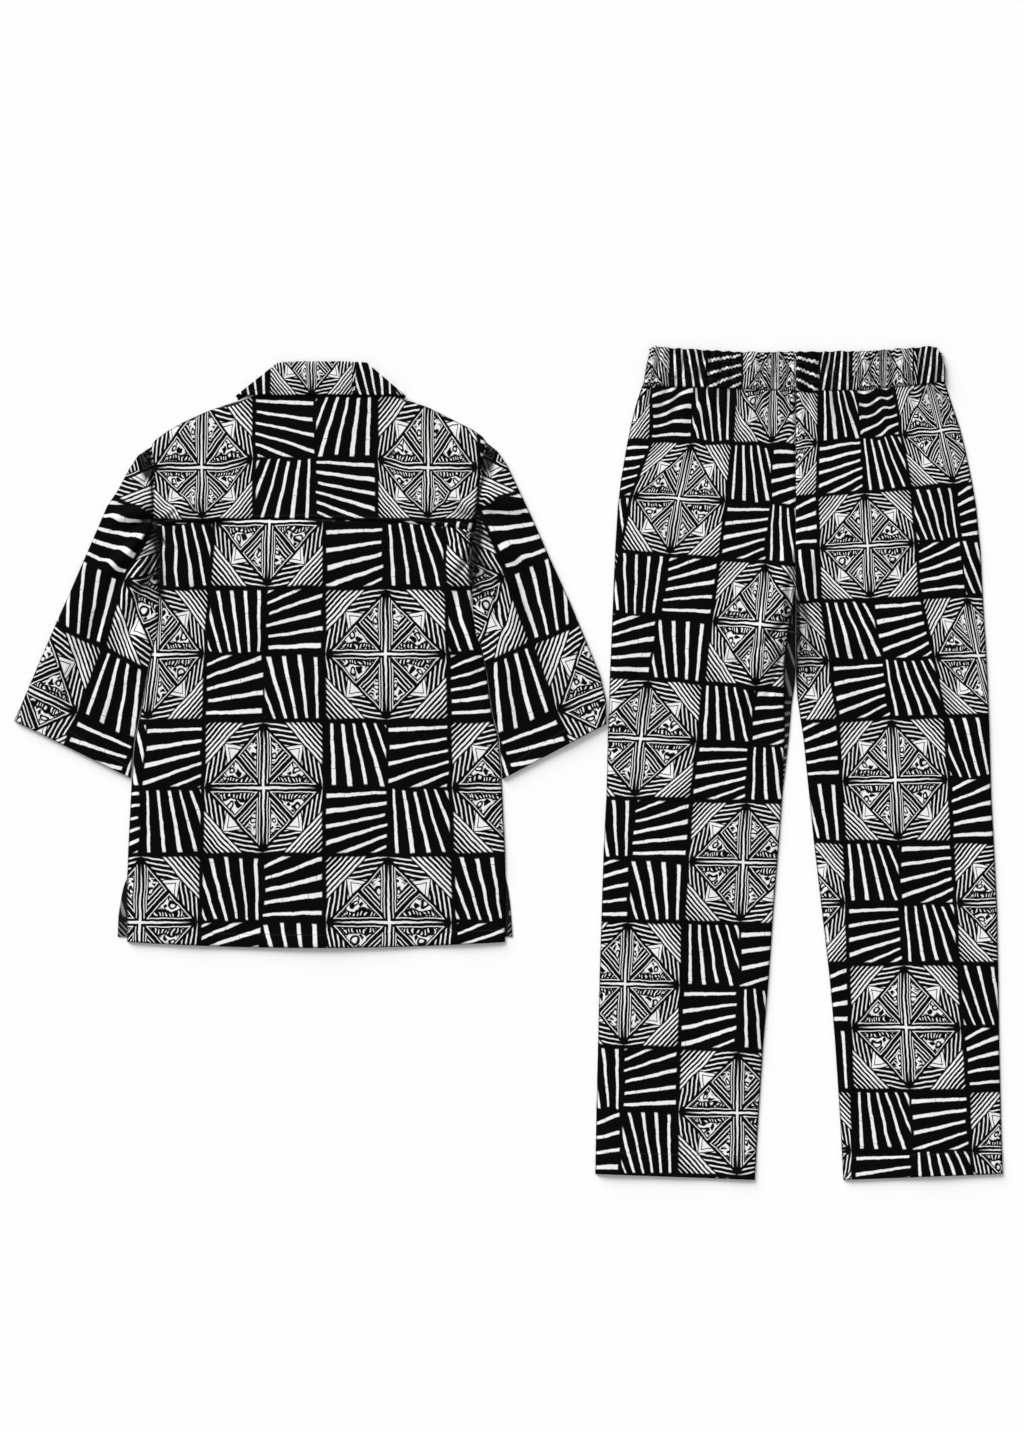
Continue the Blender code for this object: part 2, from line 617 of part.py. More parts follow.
def make_collar(place):
    # Mirrors the left half's columns, then lofts from the fold to the outer edge
    half = COLLAR
    middle = len(half["layer"]) - 1
    fold_x = np.append(half["fold_x"], (2 * COLLAR_FOLD_MIDDLE - half["fold_x"][:middle])[::-1])
    edge_x = np.append(half["edge_x"], (2 * COLLAR_EDGE_MIDDLE - half["edge_x"][:middle])[::-1])
    fold_up, edge_up, layer = (np.append(half[c], half[c][:middle][::-1]) for c in ("fold_up", "edge_up", "layer"))
    # The wings' ends stand apart at the middle
    fold_x[0], fold_x[-1] = half["fold_x"][0] - 0.003, 2 * COLLAR_FOLD_MIDDLE - half["fold_x"][0] + 0.003
    yoke_top = WALL + SEAM + COLLAR_WALL + SEAM + COLLAR_SLACK * AIR + WALL
    leaf_top = yoke_top + COLLAR_CLEAR + COLLAR_WALL
    outer, inner = [], []
    for share in np.linspace(0.0, 1.0, COLLAR_ROWS + 1):
        x = fold_x + (edge_x - fold_x) * share
        y = fold_up + (edge_up - fold_up) * share
        z = leaf_top * layer
        z_in = np.where(layer < 0.4, COLLAR_WALL, np.where(layer > 0.6, leaf_top - COLLAR_WALL, z))
        centre = np.array([COLLAR_EDGE_MIDDLE, COLLAR_CENTRE_UP])
        inward = centre - np.column_stack([x, y])
        inward /= np.linalg.norm(inward, axis=1)[:, None]
        turn = np.abs(layer - 0.5) < 0.1
        near = turn | np.roll(turn, 1) | np.roll(turn, -1)
        inset = np.where(turn, COLLAR_WALL, np.where(near, COLLAR_WALL * 0.6, 0.0))
        xy_in = np.column_stack([x, y]) + inward * inset[:, None]
        outer.append(np.column_stack([x, y, z]))
        inner.append(np.column_stack([xy_in, z_in]))
    wall("shirt_collar", outer, inner, place, CLOTH)


def make_buttons(place):
    for i in range(BUTTON_COUNT):
        mesh = bmesh.new()
        bmesh.ops.create_cone(mesh, cap_ends=True, segments=20, radius1=BUTTON_RADIUS, radius2=BUTTON_RADIUS,
                              depth=BUTTON_THICKNESS)
        rims = [edge for edge in mesh.edges if abs(edge.verts[0].co.z - edge.verts[1].co.z) < 1e-6]
        bmesh.ops.bevel(mesh, geom=rims, offset=BUTTON_RIM, segments=1, affect="EDGES")
        button = finish(f"shirt_button_{i + 1}", mesh, place, BUTTON_BLACK)
        button.location = (0.0, BUTTON_FIRST - i * BUTTON_PITCH, BUTTON_THICKNESS / 2)


# Trousers

def make_waistband(place):
    # Rows from the lower to the upper edge. The back half is gathered, and the front half lies flat.
    shares = gather_shares()
    plan, waves = [], np.concatenate([gather_wave(shares)[0], gather_wave(shares[::-1])[0][1:]])
    for way_up in np.linspace(0.0, 1.0, BAND_ROWS + 1):
        left = read(BAND_LEFT, way_up, "x", "share")
        right = read(BAND_RIGHT, way_up, "x", "share")
        x = np.concatenate([left * (1.0 - shares), (right * (1.0 - shares))[::-1][1:]])
        lower = read(BAND, x, "lower", "x") + SEAM
        upper = read(BAND, x, "upper", "x") + SCALLOP * (waves - 0.5)
        plan.append(np.column_stack([x, lower + (upper - lower) * way_up]))
    height = 2 * BAND_WALL + BAND_AIR
    outer, inner = [], []
    bottom_columns = slice(None, None, 2 * GATHER_COLUMNS)
    for row in plan:
        skins = flat_tube([row], lambda x, y: height + BAND_GATHER * waves, BAND_WALL, height)
        for skin, kept in zip((outer, inner), skins):
            points = kept[0]
            count = len(row)
            over, below = points[:count + 2], points[count + 2:]
            skin.append(np.vstack([over, below[bottom_columns]]))
    wall("trousers_waistband", outer, inner, place, CLOTH, ring=True)


def leg_row(side, outer_up, inner_up, shares, show=0.0):
    # One row of a leg's points from its side seam to its inseam
    outer = read(LEG_OUTLINE, outer_up, side + "_outer")
    inner = read(LEG_OUTLINE, inner_up, side + "_inner") + show
    x = outer + (inner - outer) * shares
    return x, outer_up + (inner_up - outer_up) * shares


LEG_ROWS_GATHERED = [1.0, 0.985, 0.966, 0.942, 0.912]
LEG_ROWS_PLAIN = [0.88, 0.84, 0.80, 0.765, 0.735, 0.71, 0.685, 0.655, 0.62, 0.57, 0.51, 0.44, 0.36, 0.28, 0.19, 0.09, 0.0]


def leg_plan(side, way, shares, show=False):
    # The row at a share of the way up from the hem to the waistband, whose curve it takes on there
    edge = -0.1912 if side == "left" else 0.1868
    outer_seam, inner_seam = read(BAND, edge, "lower", "x"), read(BAND, 0.0, "lower", "x")
    outer_up = LEG_HEM_OUTER + (outer_seam - LEG_HEM_OUTER) * way
    inner_up = LEG_HEM_INNER + (inner_seam - LEG_HEM_INNER) * way
    wider = read(INSEAM_SHOW, inner_up, "width") if show else 0.0
    x, y = leg_row(side, outer_up, inner_up, shares, wider)
    seam_y = read(BAND, x, "lower", "x") - SEAM
    chord = outer_seam + (inner_seam - outer_seam) * shares
    return np.column_stack([x, y + (seam_y - chord) * smooth(way, 0.75, 1.0)])


def make_back_leg(name, side, place):
    fine = gather_shares()
    coarse = fine[::GATHER_COLUMNS]
    plan, shares = [], []
    for way in LEG_ROWS_GATHERED + LEG_ROWS_PLAIN:
        row_shares = fine if way >= LEG_ROWS_GATHERED[-1] else coarse
        plan.append(leg_plan(side, way, row_shares))
        shares.append(row_shares)
    upper, lower = [], []
    step = 0.001
    for row, row_shares in zip(plan, shares):
        x, y = row[:, 0], row[:, 1]
        z = leg_back_under(x, y, side, row_shares)
        across = step / np.abs(x[-1] - x[0])
        slope_x = leg_back_under(x + step, y, side, row_shares + across) - z
        slope_y = leg_back_under(x, y + step, side, row_shares) - z
        slope = np.minimum(np.hypot(slope_x, slope_y) / step, 1.0)
        lower.append(np.column_stack([x, y, z]))
        upper.append(np.column_stack([x, y, z + WALL * np.sqrt(1.0 + slope ** 2)]))
    wall(name, upper, lower, place, CLOTH)


def make_front_leg(name, side, place):
    ways = [1.0, 0.94] + LEG_ROWS_PLAIN
    shares = np.linspace(0.0, 1.0, 7)
    plan = [leg_plan(side, way, shares, show=side == "left") for way in ways]
    panel(name, plan, lambda x, y: np.zeros_like(x), place)


def empty(name, location, collection):
    place = bpy.data.objects.new(name, None)
    place.location = location
    collection.objects.link(place)
    return place


def main():
    for old in list(bpy.data.objects):
        bpy.data.objects.remove(old, do_unlink=True)
    collection = bpy.data.collections.new("coord_set")
    bpy.context.scene.collection.children.link(collection)
    shirt = empty("shirt_place", SHIRT_PLACE, collection)
    trousers = empty("trousers_place", TROUSERS_PLACE, collection)
    make_shirt_back(shirt)
    make_yoke(shirt)
    for side in ("left", "right"):
        make_front(f"shirt_front_{side}", side, shirt)
        make_sleeve(f"shirt_sleeve_{side}", side, shirt)
        make_back_leg(f"trousers_back_{side}", side, trousers)
        make_front_leg(f"trousers_front_{side}", side, trousers)
    make_collar(shirt)
    make_buttons(shirt)
    make_waistband(trousers)


main()
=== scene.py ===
# A co-ord set laid flat with its back side up: a short-sleeved shirt with a camp collar, and straight
# trousers with a gathered elastic waistband, in a black and off-white patchwork print.
# Metres, +Z up, the surface is z = 0. Each garment has its own frame, as in the CAD: the shirt's has
# x = 0 at the placket and y = 0 at the back hem, the trousers' has x = 0 at the seat seam and y = 0 at the
# hems.

import math

import bpy
import numpy as np
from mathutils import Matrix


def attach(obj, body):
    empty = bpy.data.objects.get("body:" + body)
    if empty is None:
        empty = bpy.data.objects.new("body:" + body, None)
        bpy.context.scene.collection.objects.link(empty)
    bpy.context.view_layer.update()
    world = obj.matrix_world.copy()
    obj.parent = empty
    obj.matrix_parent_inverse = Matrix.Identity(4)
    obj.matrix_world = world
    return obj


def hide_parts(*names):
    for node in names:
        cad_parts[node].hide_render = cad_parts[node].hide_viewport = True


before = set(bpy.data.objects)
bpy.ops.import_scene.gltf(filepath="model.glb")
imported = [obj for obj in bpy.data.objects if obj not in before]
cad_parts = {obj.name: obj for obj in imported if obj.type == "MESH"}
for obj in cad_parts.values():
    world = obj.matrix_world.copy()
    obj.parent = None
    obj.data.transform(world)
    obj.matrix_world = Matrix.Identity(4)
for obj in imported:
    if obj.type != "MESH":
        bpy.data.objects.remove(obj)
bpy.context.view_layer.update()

shirtPlace, trousersPlace = (-0.2381, -0.2313), (0.3594, -0.5188)
shirtPixel, trousersPixel = (318.0, 948.0), (796.0, 1178.0)  # both frames' origins, across and down
pixel = 0.00125                 # one pixel of the photograph on the cloth
clothThickness = 0.0007
floorGap = 0.0001               # between the lowest cloth and the surface


def table(columns, rows):
    # Rows under named columns, one array for each: lengths in millimetres, but for shares
    values, shares = np.array(rows, dtype=float).T, ("share", "layer", "lost")
    return {name: column / (1 if name in shares else 1000) for name, column in zip(columns.split(), values)}


def along(start, end, share):
    # Straight from start, where share is 0, to end, where it is 1
    return start + (end - start) * share


def smooth(value, start, end):
    # 3 s^2 - 2 s^3, with s the share of the way from start to end
    share = np.clip((value - start) / (end - start), 0.0, 1.0)
    return share * share * (3.0 - 2.0 * share)


def fade(value, start, end):
    # 1 up to start, 0 from end on
    return 1.0 - smooth(value, start, end)


def rounded(value, reach):
    # Quarter of an ellipse, sqrt(1 - (1 - s)^2): 0 at the edge, 1 at reach and further in
    return np.sqrt(1.0 - (1.0 - np.clip(value / reach, 0.0, 1.0)) ** 2)


def bell(value, middle, width):
    # exp(-((v - middle) / width)^2)
    return np.exp(-((value - middle) / width) ** 2)


def read(rows, value, column, key="up"):
    return np.interp(value, rows[key], rows[column])


def stations(length, step, places=()):
    # Distances from 0 to length, step apart, and closer round each place (at, step there, reach)
    fine = np.linspace(0.0, length, 6001)
    size = np.full_like(fine, step)
    for at, near, reach in places:
        size = np.minimum(size, along(near, step, smooth(np.abs(fine - at), reach, 2.2 * reach)))
    count = np.concatenate([[0.0], np.cumsum((1.0 / size[1:] + 1.0 / size[:-1]) / 2) * fine[1]])
    return np.interp(np.linspace(0.0, count[-1], int(math.ceil(count[-1])) + 1), count, fine)


def shareStations(length, step, *places):
    # The same as shares of the length
    return stations(length, step, places) / length


def distances(line):
    # Distance along a line of points, 0 at its start
    return np.concatenate([[0.0], np.cumsum(np.linalg.norm(np.diff(line, axis=0), axis=1))])


def ridges(folds, x, up):
    # Sum over the folds of height * (1 - (d / width)^2)^2 * (1 - 0.75 (2 s - 1)^4), with d the distance
    # from the fold's bent line and s the share of the way along it
    total = np.zeros_like(x)
    for x1, up1, x2, up2, width, height, bend in zip(*folds.values()):
        runX, runUp = x2 - x1, up2 - up1
        run = math.hypot(runX, runUp)
        share = ((x - x1) * runX + (up - up1) * runUp) / run ** 2
        within = np.clip(share, 0.0, 1.0)
        off = ((x - x1) * runUp - (up - up1) * runX) / run
        off = off - bend * np.sin(math.pi * within) - 0.12 * bend * np.sin(9.0 * share)
        away = np.hypot(off, np.abs(share - within) * run)
        full = height * (1.0 - 0.75 * (2.0 * within - 1.0) ** 4)
        total += full * np.clip(1.0 - (away / width) ** 2, 0.0, 1.0) ** 2
    return total


def ripple(waves, x, up):
    # Sum of height * sin(2 pi (a x + b up) + c + 0.8 sin(2 pi (b x - a up) / 1.7)): no cloth is flat
    turn = 2 * math.pi
    return sum(height * np.sin(turn * (a * x + b * up) + c + 0.8 * np.sin(turn * (b * x - a * up) / 1.7))
               for a, b, c, height in waves)


# Outlines, as in the CAD

shirtOutline = table("up left right", [
    (0, -238.8, 233.8), (85, -238.8, 234.4), (122, -237.5, 233.8), (210, -233.1, 229.4),
    (260, -228.8, 226), (290, -222.5, 218), (314, -218, 214.3), (341, -213.8, 211.3), (372, -207.5, 205),
    (390, -201, 197.5), (421, -200, 193.8), (447.5, -198.8, 192.5), (480, -197, 192.5), (509, -199, 193),
    (530, -206.9, 197.5), (554, -205.5, 199.4), (580, -203.9, 201.9), (614, -206, 206.2),
    (635, -209.5, 210.5)])
slitShow = table("up left right", [
    (0, 12.5, 10), (39, 11, 7.5), (55, 8.8, 6), (72, 5.8, 3.8), (90, 0, 0)])
shoulders = table("x up", [
    (-210, 626.5), (-203.8, 635), (-187.5, 647), (-168.8, 657.5), (-134.4, 673), (-108, 682),
    (-100, 684), (-88, 691), (-70, 700), (70, 702), (90, 695), (107, 685), (118, 683), (140, 675),
    (194.4, 647.5), (205, 640), (211, 632)])
sleeves = {
    "left": dict(sign=-1, shoulder=0.627, cuffInner=0.2125, cuffGap=0.0012, outer=table("x up", [
        (-225, 616), (-237.5, 597), (-250, 573), (-263.8, 552.5), (-278.8, 517.5), (-292.5, 486),
        (-310.6, 443.8), (-326, 410), (-380, 283.8)])),
    "right": dict(sign=1, shoulder=0.6325, cuffInner=0.2110, cuffGap=0.0010, outer=table("x up", [
        (224.5, 621), (236.3, 603.8), (251.3, 572.5), (270, 532.5), (291.3, 483.8), (313.8, 435),
        (338.8, 375), (353, 340), (360, 310), (360.5, 280)])),
}
legOutline = table("up leftOuter leftInner rightInner rightOuter", [
    (-10, -251, -51.5, 59.8, 259), (4, -250.9, -50.9, 59, 258.8), (79, -249.6, -46.6, 55, 256.6),
    (164, -247.5, -40.9, 49.5, 254.6), (250, -245.5, -33.8, 42.3, 253.3),
    (336, -242.9, -27.9, 32.3, 251.8), (422, -240, -20.8, 22.3, 247.5), (476, -237, -16.9, 16.9, 244.6),
    (550, -235.3, -13.8, 9.4, 242.5), (600, -233.5, -14, 1.9, 240.8), (625, -232.8, -14, 0.2, 239.8),
    (660, -231.2, -12, 0.2, 238), (691, -230, -8, 0.2, 236), (715, -229, -3, 0.2, 234.5),
    (740, -228, -0.2, 0.2, 233.2), (785, -226, -0.2, 0.2, 231), (840, -222.6, -0.2, 0.2, 225.4),
    (872, -219, -0.2, 0.2, 220), (915, -211.6, -0.2, 0.2, 211), (938, -207, -0.2, 0.2, 205),
    (965, -200.6, -0.2, 0.2, 196), (987, -193.4, -0.2, 0.2, 188.8), (1000, -191, -0.2, 0.2, 185)])
inseamShow = table("up width", [
    (476, 0), (550, 5), (590, 8.5), (620, 13), (640, 13), (660, 11.5), (691, 7.5), (715, 2.8), (740, 0)])
band = table("x lower upper", [
    (-192, 990, 1030), (-182, 990, 1037), (-176, 989.6, 1040.2), (-155, 989, 1037.6),
    (-111, 988.5, 1035), (-65, 986.5, 1032.5), (5, 983.8, 1033), (84, 985, 1033.8), (149, 991.5, 1038),
    (168, 993.5, 1040.5), (176, 994.4, 1037.5), (183, 995, 1030), (189, 995.6, 1025)])
bandEnds = table("share left right", [(0, -191.2, 186.8), (0.6, -187, 186.8), (1, -182, 181)])

underarm, hemSide, frontHem, slitTop = 0.390, 0.0075, 0.0140, 0.090
yokeSeamLeft, yokeSeamRight, yokeSeamRise = 0.5275, 0.5225, 0.011
neckFront, neckHalfWidth, collarMiddle, collarFoldMiddle = 0.662, 0.070, 0.0035, 0.0054
seatSeamEnd, legHemOuter, legHemInner = 0.700, 0.0050, -0.0025

# Folds: a ridge has a positive height, a trough a negative one, and bend is how far its middle stands
# aside. First come those of the armholes, left and right, then those of the body and the sleeves.
foldColumns = "x1 up1 x2 up2 width height bend"
shirtFolds = table(foldColumns, [
    (-196, 530, -150, 566, 16, 3, 3), (-192, 505, -158, 450, 16, 2.6, -4),
    (-190, 420, -178, 330, 20, 2, 3), (-216, 546, -262, 532, 14, 3.6, 2),
    (-214, 518, -268, 470, 15, 3.4, -3), (-210, 488, -254, 400, 17, 3, 4),
    (-210, 430, -236, 345, 18, 2.4, -3), (-290, 440, -335, 330, 30, 1.8, 6),
    (-206, 538, -238, 523, 5, -5.2, 1), (-197, 532, -176, 548, 4.5, -3.4, 1),
    (-202, 524, -232, 492, 5, -4.2, -1), (-199, 500, -222, 446, 5.5, -3, 2),
    (-203, 560, -224, 582, 6, -2.2, 1), (-198, 470, -183, 420, 7, -1.8, 2),
    (188, 545, 146, 580, 16, 3, -3), (184, 505, 160, 435, 18, 2.8, 4), (186, 430, 190, 340, 20, 2, -3),
    (206, 562, 256, 546, 14, 3.6, -2), (203, 528, 262, 480, 16, 3.6, 3), (202, 496, 250, 405, 18, 3, -4),
    (204, 440, 236, 350, 18, 2.4, 3), (280, 440, 318, 330, 30, 1.8, -6),
    (198, 550, 230, 534, 5, -4.8, -1), (194, 536, 228, 500, 5.2, -4.6, 1),
    (191, 512, 220, 455, 5.5, -3.4, -2), (191, 540, 168, 560, 4.5, -3, 1),
    (190, 500, 172, 462, 6, -2.6, -1), (200, 574, 222, 598, 6, -2, 1),
    (-130, 300, -90, 130, 42, 1.4, 10), (90, 350, 135, 180, 45, 1.4, -12),
    (-40, 440, -100, 360, 40, 1.1, 8), (120, 120, 195, 50, 38, 1.3, 6),
    (-200, 190, -165, 60, 34, 1.3, -6), (20, 230, 60, 90, 40, 1, 10),
    (-155, 230, -120, 175, 16, -1.1, 4), (150, 300, 185, 232, 16, -1.2, -4),
    (40, 395, 105, 380, 18, -1, 5), (-60, 500, 30, 512, 20, -0.8, 4),
    (-255, 452, -285, 380, 12, -1.6, 3), (-300, 370, -322, 300, 14, -1.3, -4),
    (250, 455, 276, 385, 12, -1.6, -3), (290, 365, 312, 300, 14, -1.3, 4),
    (-240, 330, -262, 270, 13, -1.2, 3), (238, 330, 258, 270, 13, -1.2, -3)])
shirtWaves = [(5.1, 2.3, 0.4, 0.0003), (-3.7, 6.1, 1.9, 0.00026), (8.9, -4.2, 4.1, 0.00016),
              (2.2, 11.3, 2.7, 0.00014), (13.1, 7.9, 0.9, 0.0001)]
# First the seat and the crotch, then the legs
trousersFolds = table(foldColumns, [
    (-10, 790, -16, 712, 16, 3.2, 2), (-18, 712, -95, 655, 22, 2.8, -5),
    (-20, 684, -72, 590, 20, 2.4, 5), (12, 712, 90, 665, 22, 2.8, 5), (14, 690, 66, 590, 20, 2.4, -5),
    (10, 790, 14, 720, 16, 2.6, -2), (-6, 762, -12, 690, 5, -4.2, 1), (-10, 704, -46, 664, 5, -3.4, -2),
    (8, 712, 40, 676, 5, -3.4, 2), (-16, 660, -36, 600, 6, -2.8, 2), (10, 660, 30, 604, 6, -2.6, -2),
    (-40, 800, -26, 742, 10, -1.4, 2), (36, 806, 24, 750, 10, -1.4, -2),
    (-150, 520, -120, 310, 45, 1.4, 12), (-75, 300, -95, 110, 40, 1.3, -10),
    (110, 530, 150, 330, 45, 1.4, -12), (180, 260, 160, 100, 42, 1.3, 10),
    (-192, 890, -150, 810, 26, 1.6, 4), (188, 890, 150, 810, 26, 1.6, -4),
    (-205, 640, -160, 560, 20, -1.2, 6), (215, 650, 170, 575, 20, -1.2, -6),
    (-100, 430, -60, 390, 16, -1.1, 4), (70, 450, 110, 395, 16, -1.1, -4),
    (-200, 260, -165, 190, 18, -1.1, -5), (110, 215, 90, 140, 18, -1.1, 5),
    (-120, 90, -150, 40, 20, 1.2, 3), (205, 120, 225, 50, 20, 1.2, -3)])
trousersWaves = [(4.3, 1.9, 1.4, 0.00032), (-5.2, 4.4, 0.2, 0.00026), (9.7, -3.1, 3.3, 0.00016),
                 (2.9, 10.1, 5.0, 0.00014), (-12.3, 6.7, 2.2, 0.0001)]

# Painted shade in deep creases where hardly any light falls: lost is how much of it is lost. In the shirt's
# table each side's first row, at the top of the armhole, paints a black wedge that is partly the print's
# dark margin and partly painted shade
shadeColumns = "x1 up1 x2 up2 width lost bend"
shirtShades = table(shadeColumns, [
    (-220.5, 634, -209, 586, 12, 2.2, 1), (-208.5, 590, -206.5, 548, 3.6, 0.9, 0),
    (-215, 550, -201, 508, 14, 1.6, 2), (-201, 510, -196.5, 440, 7, 1, -1),
    (-196.5, 440, -201, 395, 4.2, 0.5, 0), (-200, 523, -180, 474, 3, 0.75, -2),
    (-206, 496, -234, 488, 3.2, 0.55, 2), (-204, 470, -226, 452, 3.4, 0.5, -2),
    (-196, 512, -170, 498, 3.4, 0.45, 2), (-206, 538, -242, 544, 5.2, 0.65, -2),
    (-199, 420, -184, 380, 3.6, 0.45, 1), (-205, 530, -170, 542, 3.6, 0.55, 1),
    (219, 636, 208, 596, 12, 2.2, -1), (208, 600, 201, 564, 3.6, 0.85, 0),
    (202, 576, 198.5, 540, 4.8, 1, 1), (199, 544, 195, 496, 11, 1.6, -1),
    (196, 494, 192.5, 458, 8, 1.2, 1), (192.5, 460, 192, 400, 4.2, 0.55, 0),
    (198, 530, 220, 504, 3.6, 0.6, 2), (195, 518, 174, 504, 3.4, 0.6, 2),
    (195, 498, 176, 472, 3.4, 0.55, -2), (193, 456, 212, 442, 3.6, 0.7, 2),
    (194, 542, 170, 550, 3.4, 0.5, -2), (199, 486, 226, 472, 3, 0.5, 1),
    (-248, 442, -266, 396, 6, 0.3, 3), (246, 442, 264, 396, 6, 0.3, -3),
    (-206, 520, -198, 430, 20, 0.45, 4), (-216, 490, -226, 420, 18, 0.3, -4),
    (196, 525, 190, 440, 19, 0.45, -4), (204, 490, 216, 420, 18, 0.28, 4)])
trousersShades = table(shadeColumns, [
    (-1, 790, -3, 710, 3.4, 0.75, 1), (-4, 712, -13, 640, 5.2, 1.1, -1),
    (-13, 650, -14, 570, 4.4, 0.7, 0), (2, 740, 4, 660, 5, 0.8, 1), (2, 660, 3, 600, 4.4, 0.5, 0),
    (6, 726, 20, 690, 3.4, 0.6, 2), (-6, 706, -34, 682, 3.4, 0.5, -2), (8, 700, 26, 650, 3.4, 0.5, -2),
    (6, 730, 12, 620, 18, 0.5, 2), (-6, 720, -18, 620, 14, 0.45, -2), (-16, 660, -32, 612, 3.6, 0.4, 2),
    (-3, 750, -20, 728, 3, 0.45, 1), (4, 764, 18, 742, 3, 0.4, -1), (-2, 980, -2, 860, 2.8, 0.4, 0)])


# Where the print lies, in tiles: pixel lines between its tiles give the place

def pixels(origin, x, up):
    return origin[0] + x / pixel, origin[1] - up / pixel


def evenPrint(own, x, up):
    # u = tile + (px - column) / width and v = tile + (row - py) / height
    px, py = pixels(own["origin"], x, up)
    return np.stack([own["tile"][0] + (px - own["column"]) / own["size"][0],
                     own["tile"][1] + (own["row"] - py) / own["size"][1]], axis=-1)


def between(value, lines, tiles):
    # Tiles at a place among lines: straight from each line to the next, and on beyond the outer ones
    for k in range(len(lines) - 1):
        onward = tiles[k] + (value - lines[k]) * (tiles[k + 1] - tiles[k]) / (lines[k + 1] - lines[k])
        found = np.where(value > lines[k], onward, found) if k else onward
    return found


# Column lines that lean, each a list of its places across at the heights given, from left to right, and
# row lines that tilt, each with its heights at the two row ends
backLines = dict(
    heights=[455, 520, 590, 655, 720, 790, 860, 990],
    lines=[[100, 100, 103, 105, 90, 80, 81, 79], [216, 214, 209, 205, 204, 203, 201, 198], [324] * 8,
           [443, 444, 446, 447.5, 449, 450.5, 452.5, 455], [572, 572, 573, 574, 575, 576, 578, 580]],
    tiles=[-2, -1, 0, 1, 2], rowsLeft=[455, 588, 721, 855, 990], rowsRight=[455, 588, 721, 855, 990],
    rowEnds=(120, 500), rowTiles=[4, 3, 2, 1, 0])
legLines = {
    "left": dict(
        heights=[380, 445, 500, 562, 622, 677, 738, 797, 864, 922, 988, 1047, 1115, 1178],
        lines=[[652, 650, 630, 618, 604, 592, 583, 578, 575, 572, 569, 567, 566, 565],
               [735, 732, 726, 719, 711, 704, 698, 691, 687, 683, 681, 679, 677, 676],
               [812, 812, 814, 812, 809, 806, 804, 801, 799, 797, 796, 796, 797, 797]],
        tiles=[-1, 0, 1], rowsLeft=[440, 551, 677, 798, 921, 1047, 1175],
        rowsRight=[445, 565, 690, 803, 925, 1052, 1177], rowEnds=(620, 796),
        rowTiles=[0, -1, -2, -3, -4, -5, -6]),
    "right": dict(
        heights=[380, 495, 595, 650, 720, 800, 860, 900, 960, 1000, 1060, 1100, 1170, 1178],
        lines=[[745, 728, 728, 735, 738, 740, 742, 744, 746, 747, 748, 749, 750, 750],
               [820, 817, 820, 828, 838, 842, 845, 846, 848, 849, 851, 852, 853, 853],
               [892, 912, 920, 933, 945, 950, 953, 955, 958, 960, 965, 968, 972, 972],
               [965, 1000, 1012, 1020, 1050, 1058, 1062, 1064, 1068, 1070, 1076, 1080, 1084, 1084]],
        tiles=[-1, 0, 1, 2], rowsLeft=[497, 602, 722, 842, 964, 1091, 1210],
        rowsRight=[482, 595, 715, 842, 964, 1091, 1210], rowEnds=(800, 990),
        rowTiles=[1, 0, -1, -2, -3, -4, -5]),
}


def bentPrint(own, origin, x, up):
    # Print coordinates between the leaning column lines and the tilted row lines
    px, py = pixels(origin, x, up)
    columns = [np.interp(py, own["heights"], line) for line in own["lines"]]
    share = (px - own["rowEnds"][0]) / (own["rowEnds"][1] - own["rowEnds"][0])
    rows = [along(left, right, share) for left, right in zip(own["rowsLeft"], own["rowsRight"])]
    return np.stack([between(px, columns, own["tiles"]), between(py, rows, own["rowTiles"])], axis=-1)


def slide(folds, x, up, amount=0.045, step=0.0015, steepest=0.35):
    # The print runs over the ridges: its shift is amount * the gradient of their height
    high = {name: column[folds["height"] > 0.0] for name, column in folds.items()}
    across = ridges(high, x + step, up) - ridges(high, x - step, up)
    upward = ridges(high, x, up + step) - ridges(high, x, up - step)
    return amount * np.clip(np.stack([across, upward], axis=-1) / (2 * step), -steepest, steepest)


def dim(folds, shades, x, up, fromEdge):
    # Share of the light lost, painted into the colour as shade: the shades' sum, 6 % for each millimetre of
    # the troughs, and a narrow band of painted shade where the cloth turns down at its edge
    low = {name: column[folds["height"] < 0.0] for name, column in folds.items()}
    edgeShade = 0.85 * fade(fromEdge, 0.0002, 0.0030)
    return np.clip(ridges(shades, x, up) - 60.0 * ridges(low, x, up) + edgeShade, 0.0, 1.0)


# Shader nodes

class Value:
    # A number in a node tree; arithmetic on it adds Math nodes
    def __init__(self, tree, socket):
        self.tree, self.socket = tree, socket

    def math(self, operation, *others, clamp=False):
        inputs = dict(enumerate((self, *others)))
        node = addNode(self.tree, "Math", inputs, operation=operation, use_clamp=clamp)
        return Value(self.tree, node.outputs[0])

    def timesPlus(self, factor, offset, clamp=False):
        return self.math("MULTIPLY_ADD", factor, offset, clamp=clamp)

    def opposite(self):
        return self.timesPlus(-1.0, 1.0)

    def under(self, limit, soft=0.012):
        # 1 where the value is under the limit, 0 over it, over a distance of soft
        if isinstance(limit, Value):
            return (limit - self).timesPlus(1.0 / soft, 0.5, clamp=True)
        return self.timesPlus(-1.0 / soft, limit / soft + 0.5, clamp=True)

    def over(self, limit, soft=0.012):
        if isinstance(limit, Value):
            return limit.under(self, soft)
        return self.timesPlus(1.0 / soft, 0.5 - limit / soft, clamp=True)

    def lined(self, half, soft):
        # A line midway between every two whole numbers, as wide as half to either side
        return abs(self.fract() - 0.5).under(half, soft)

    def blend(self, other, share):
        # self where share is 0, other where it is 1
        return (other - self).timesPlus(share, self)


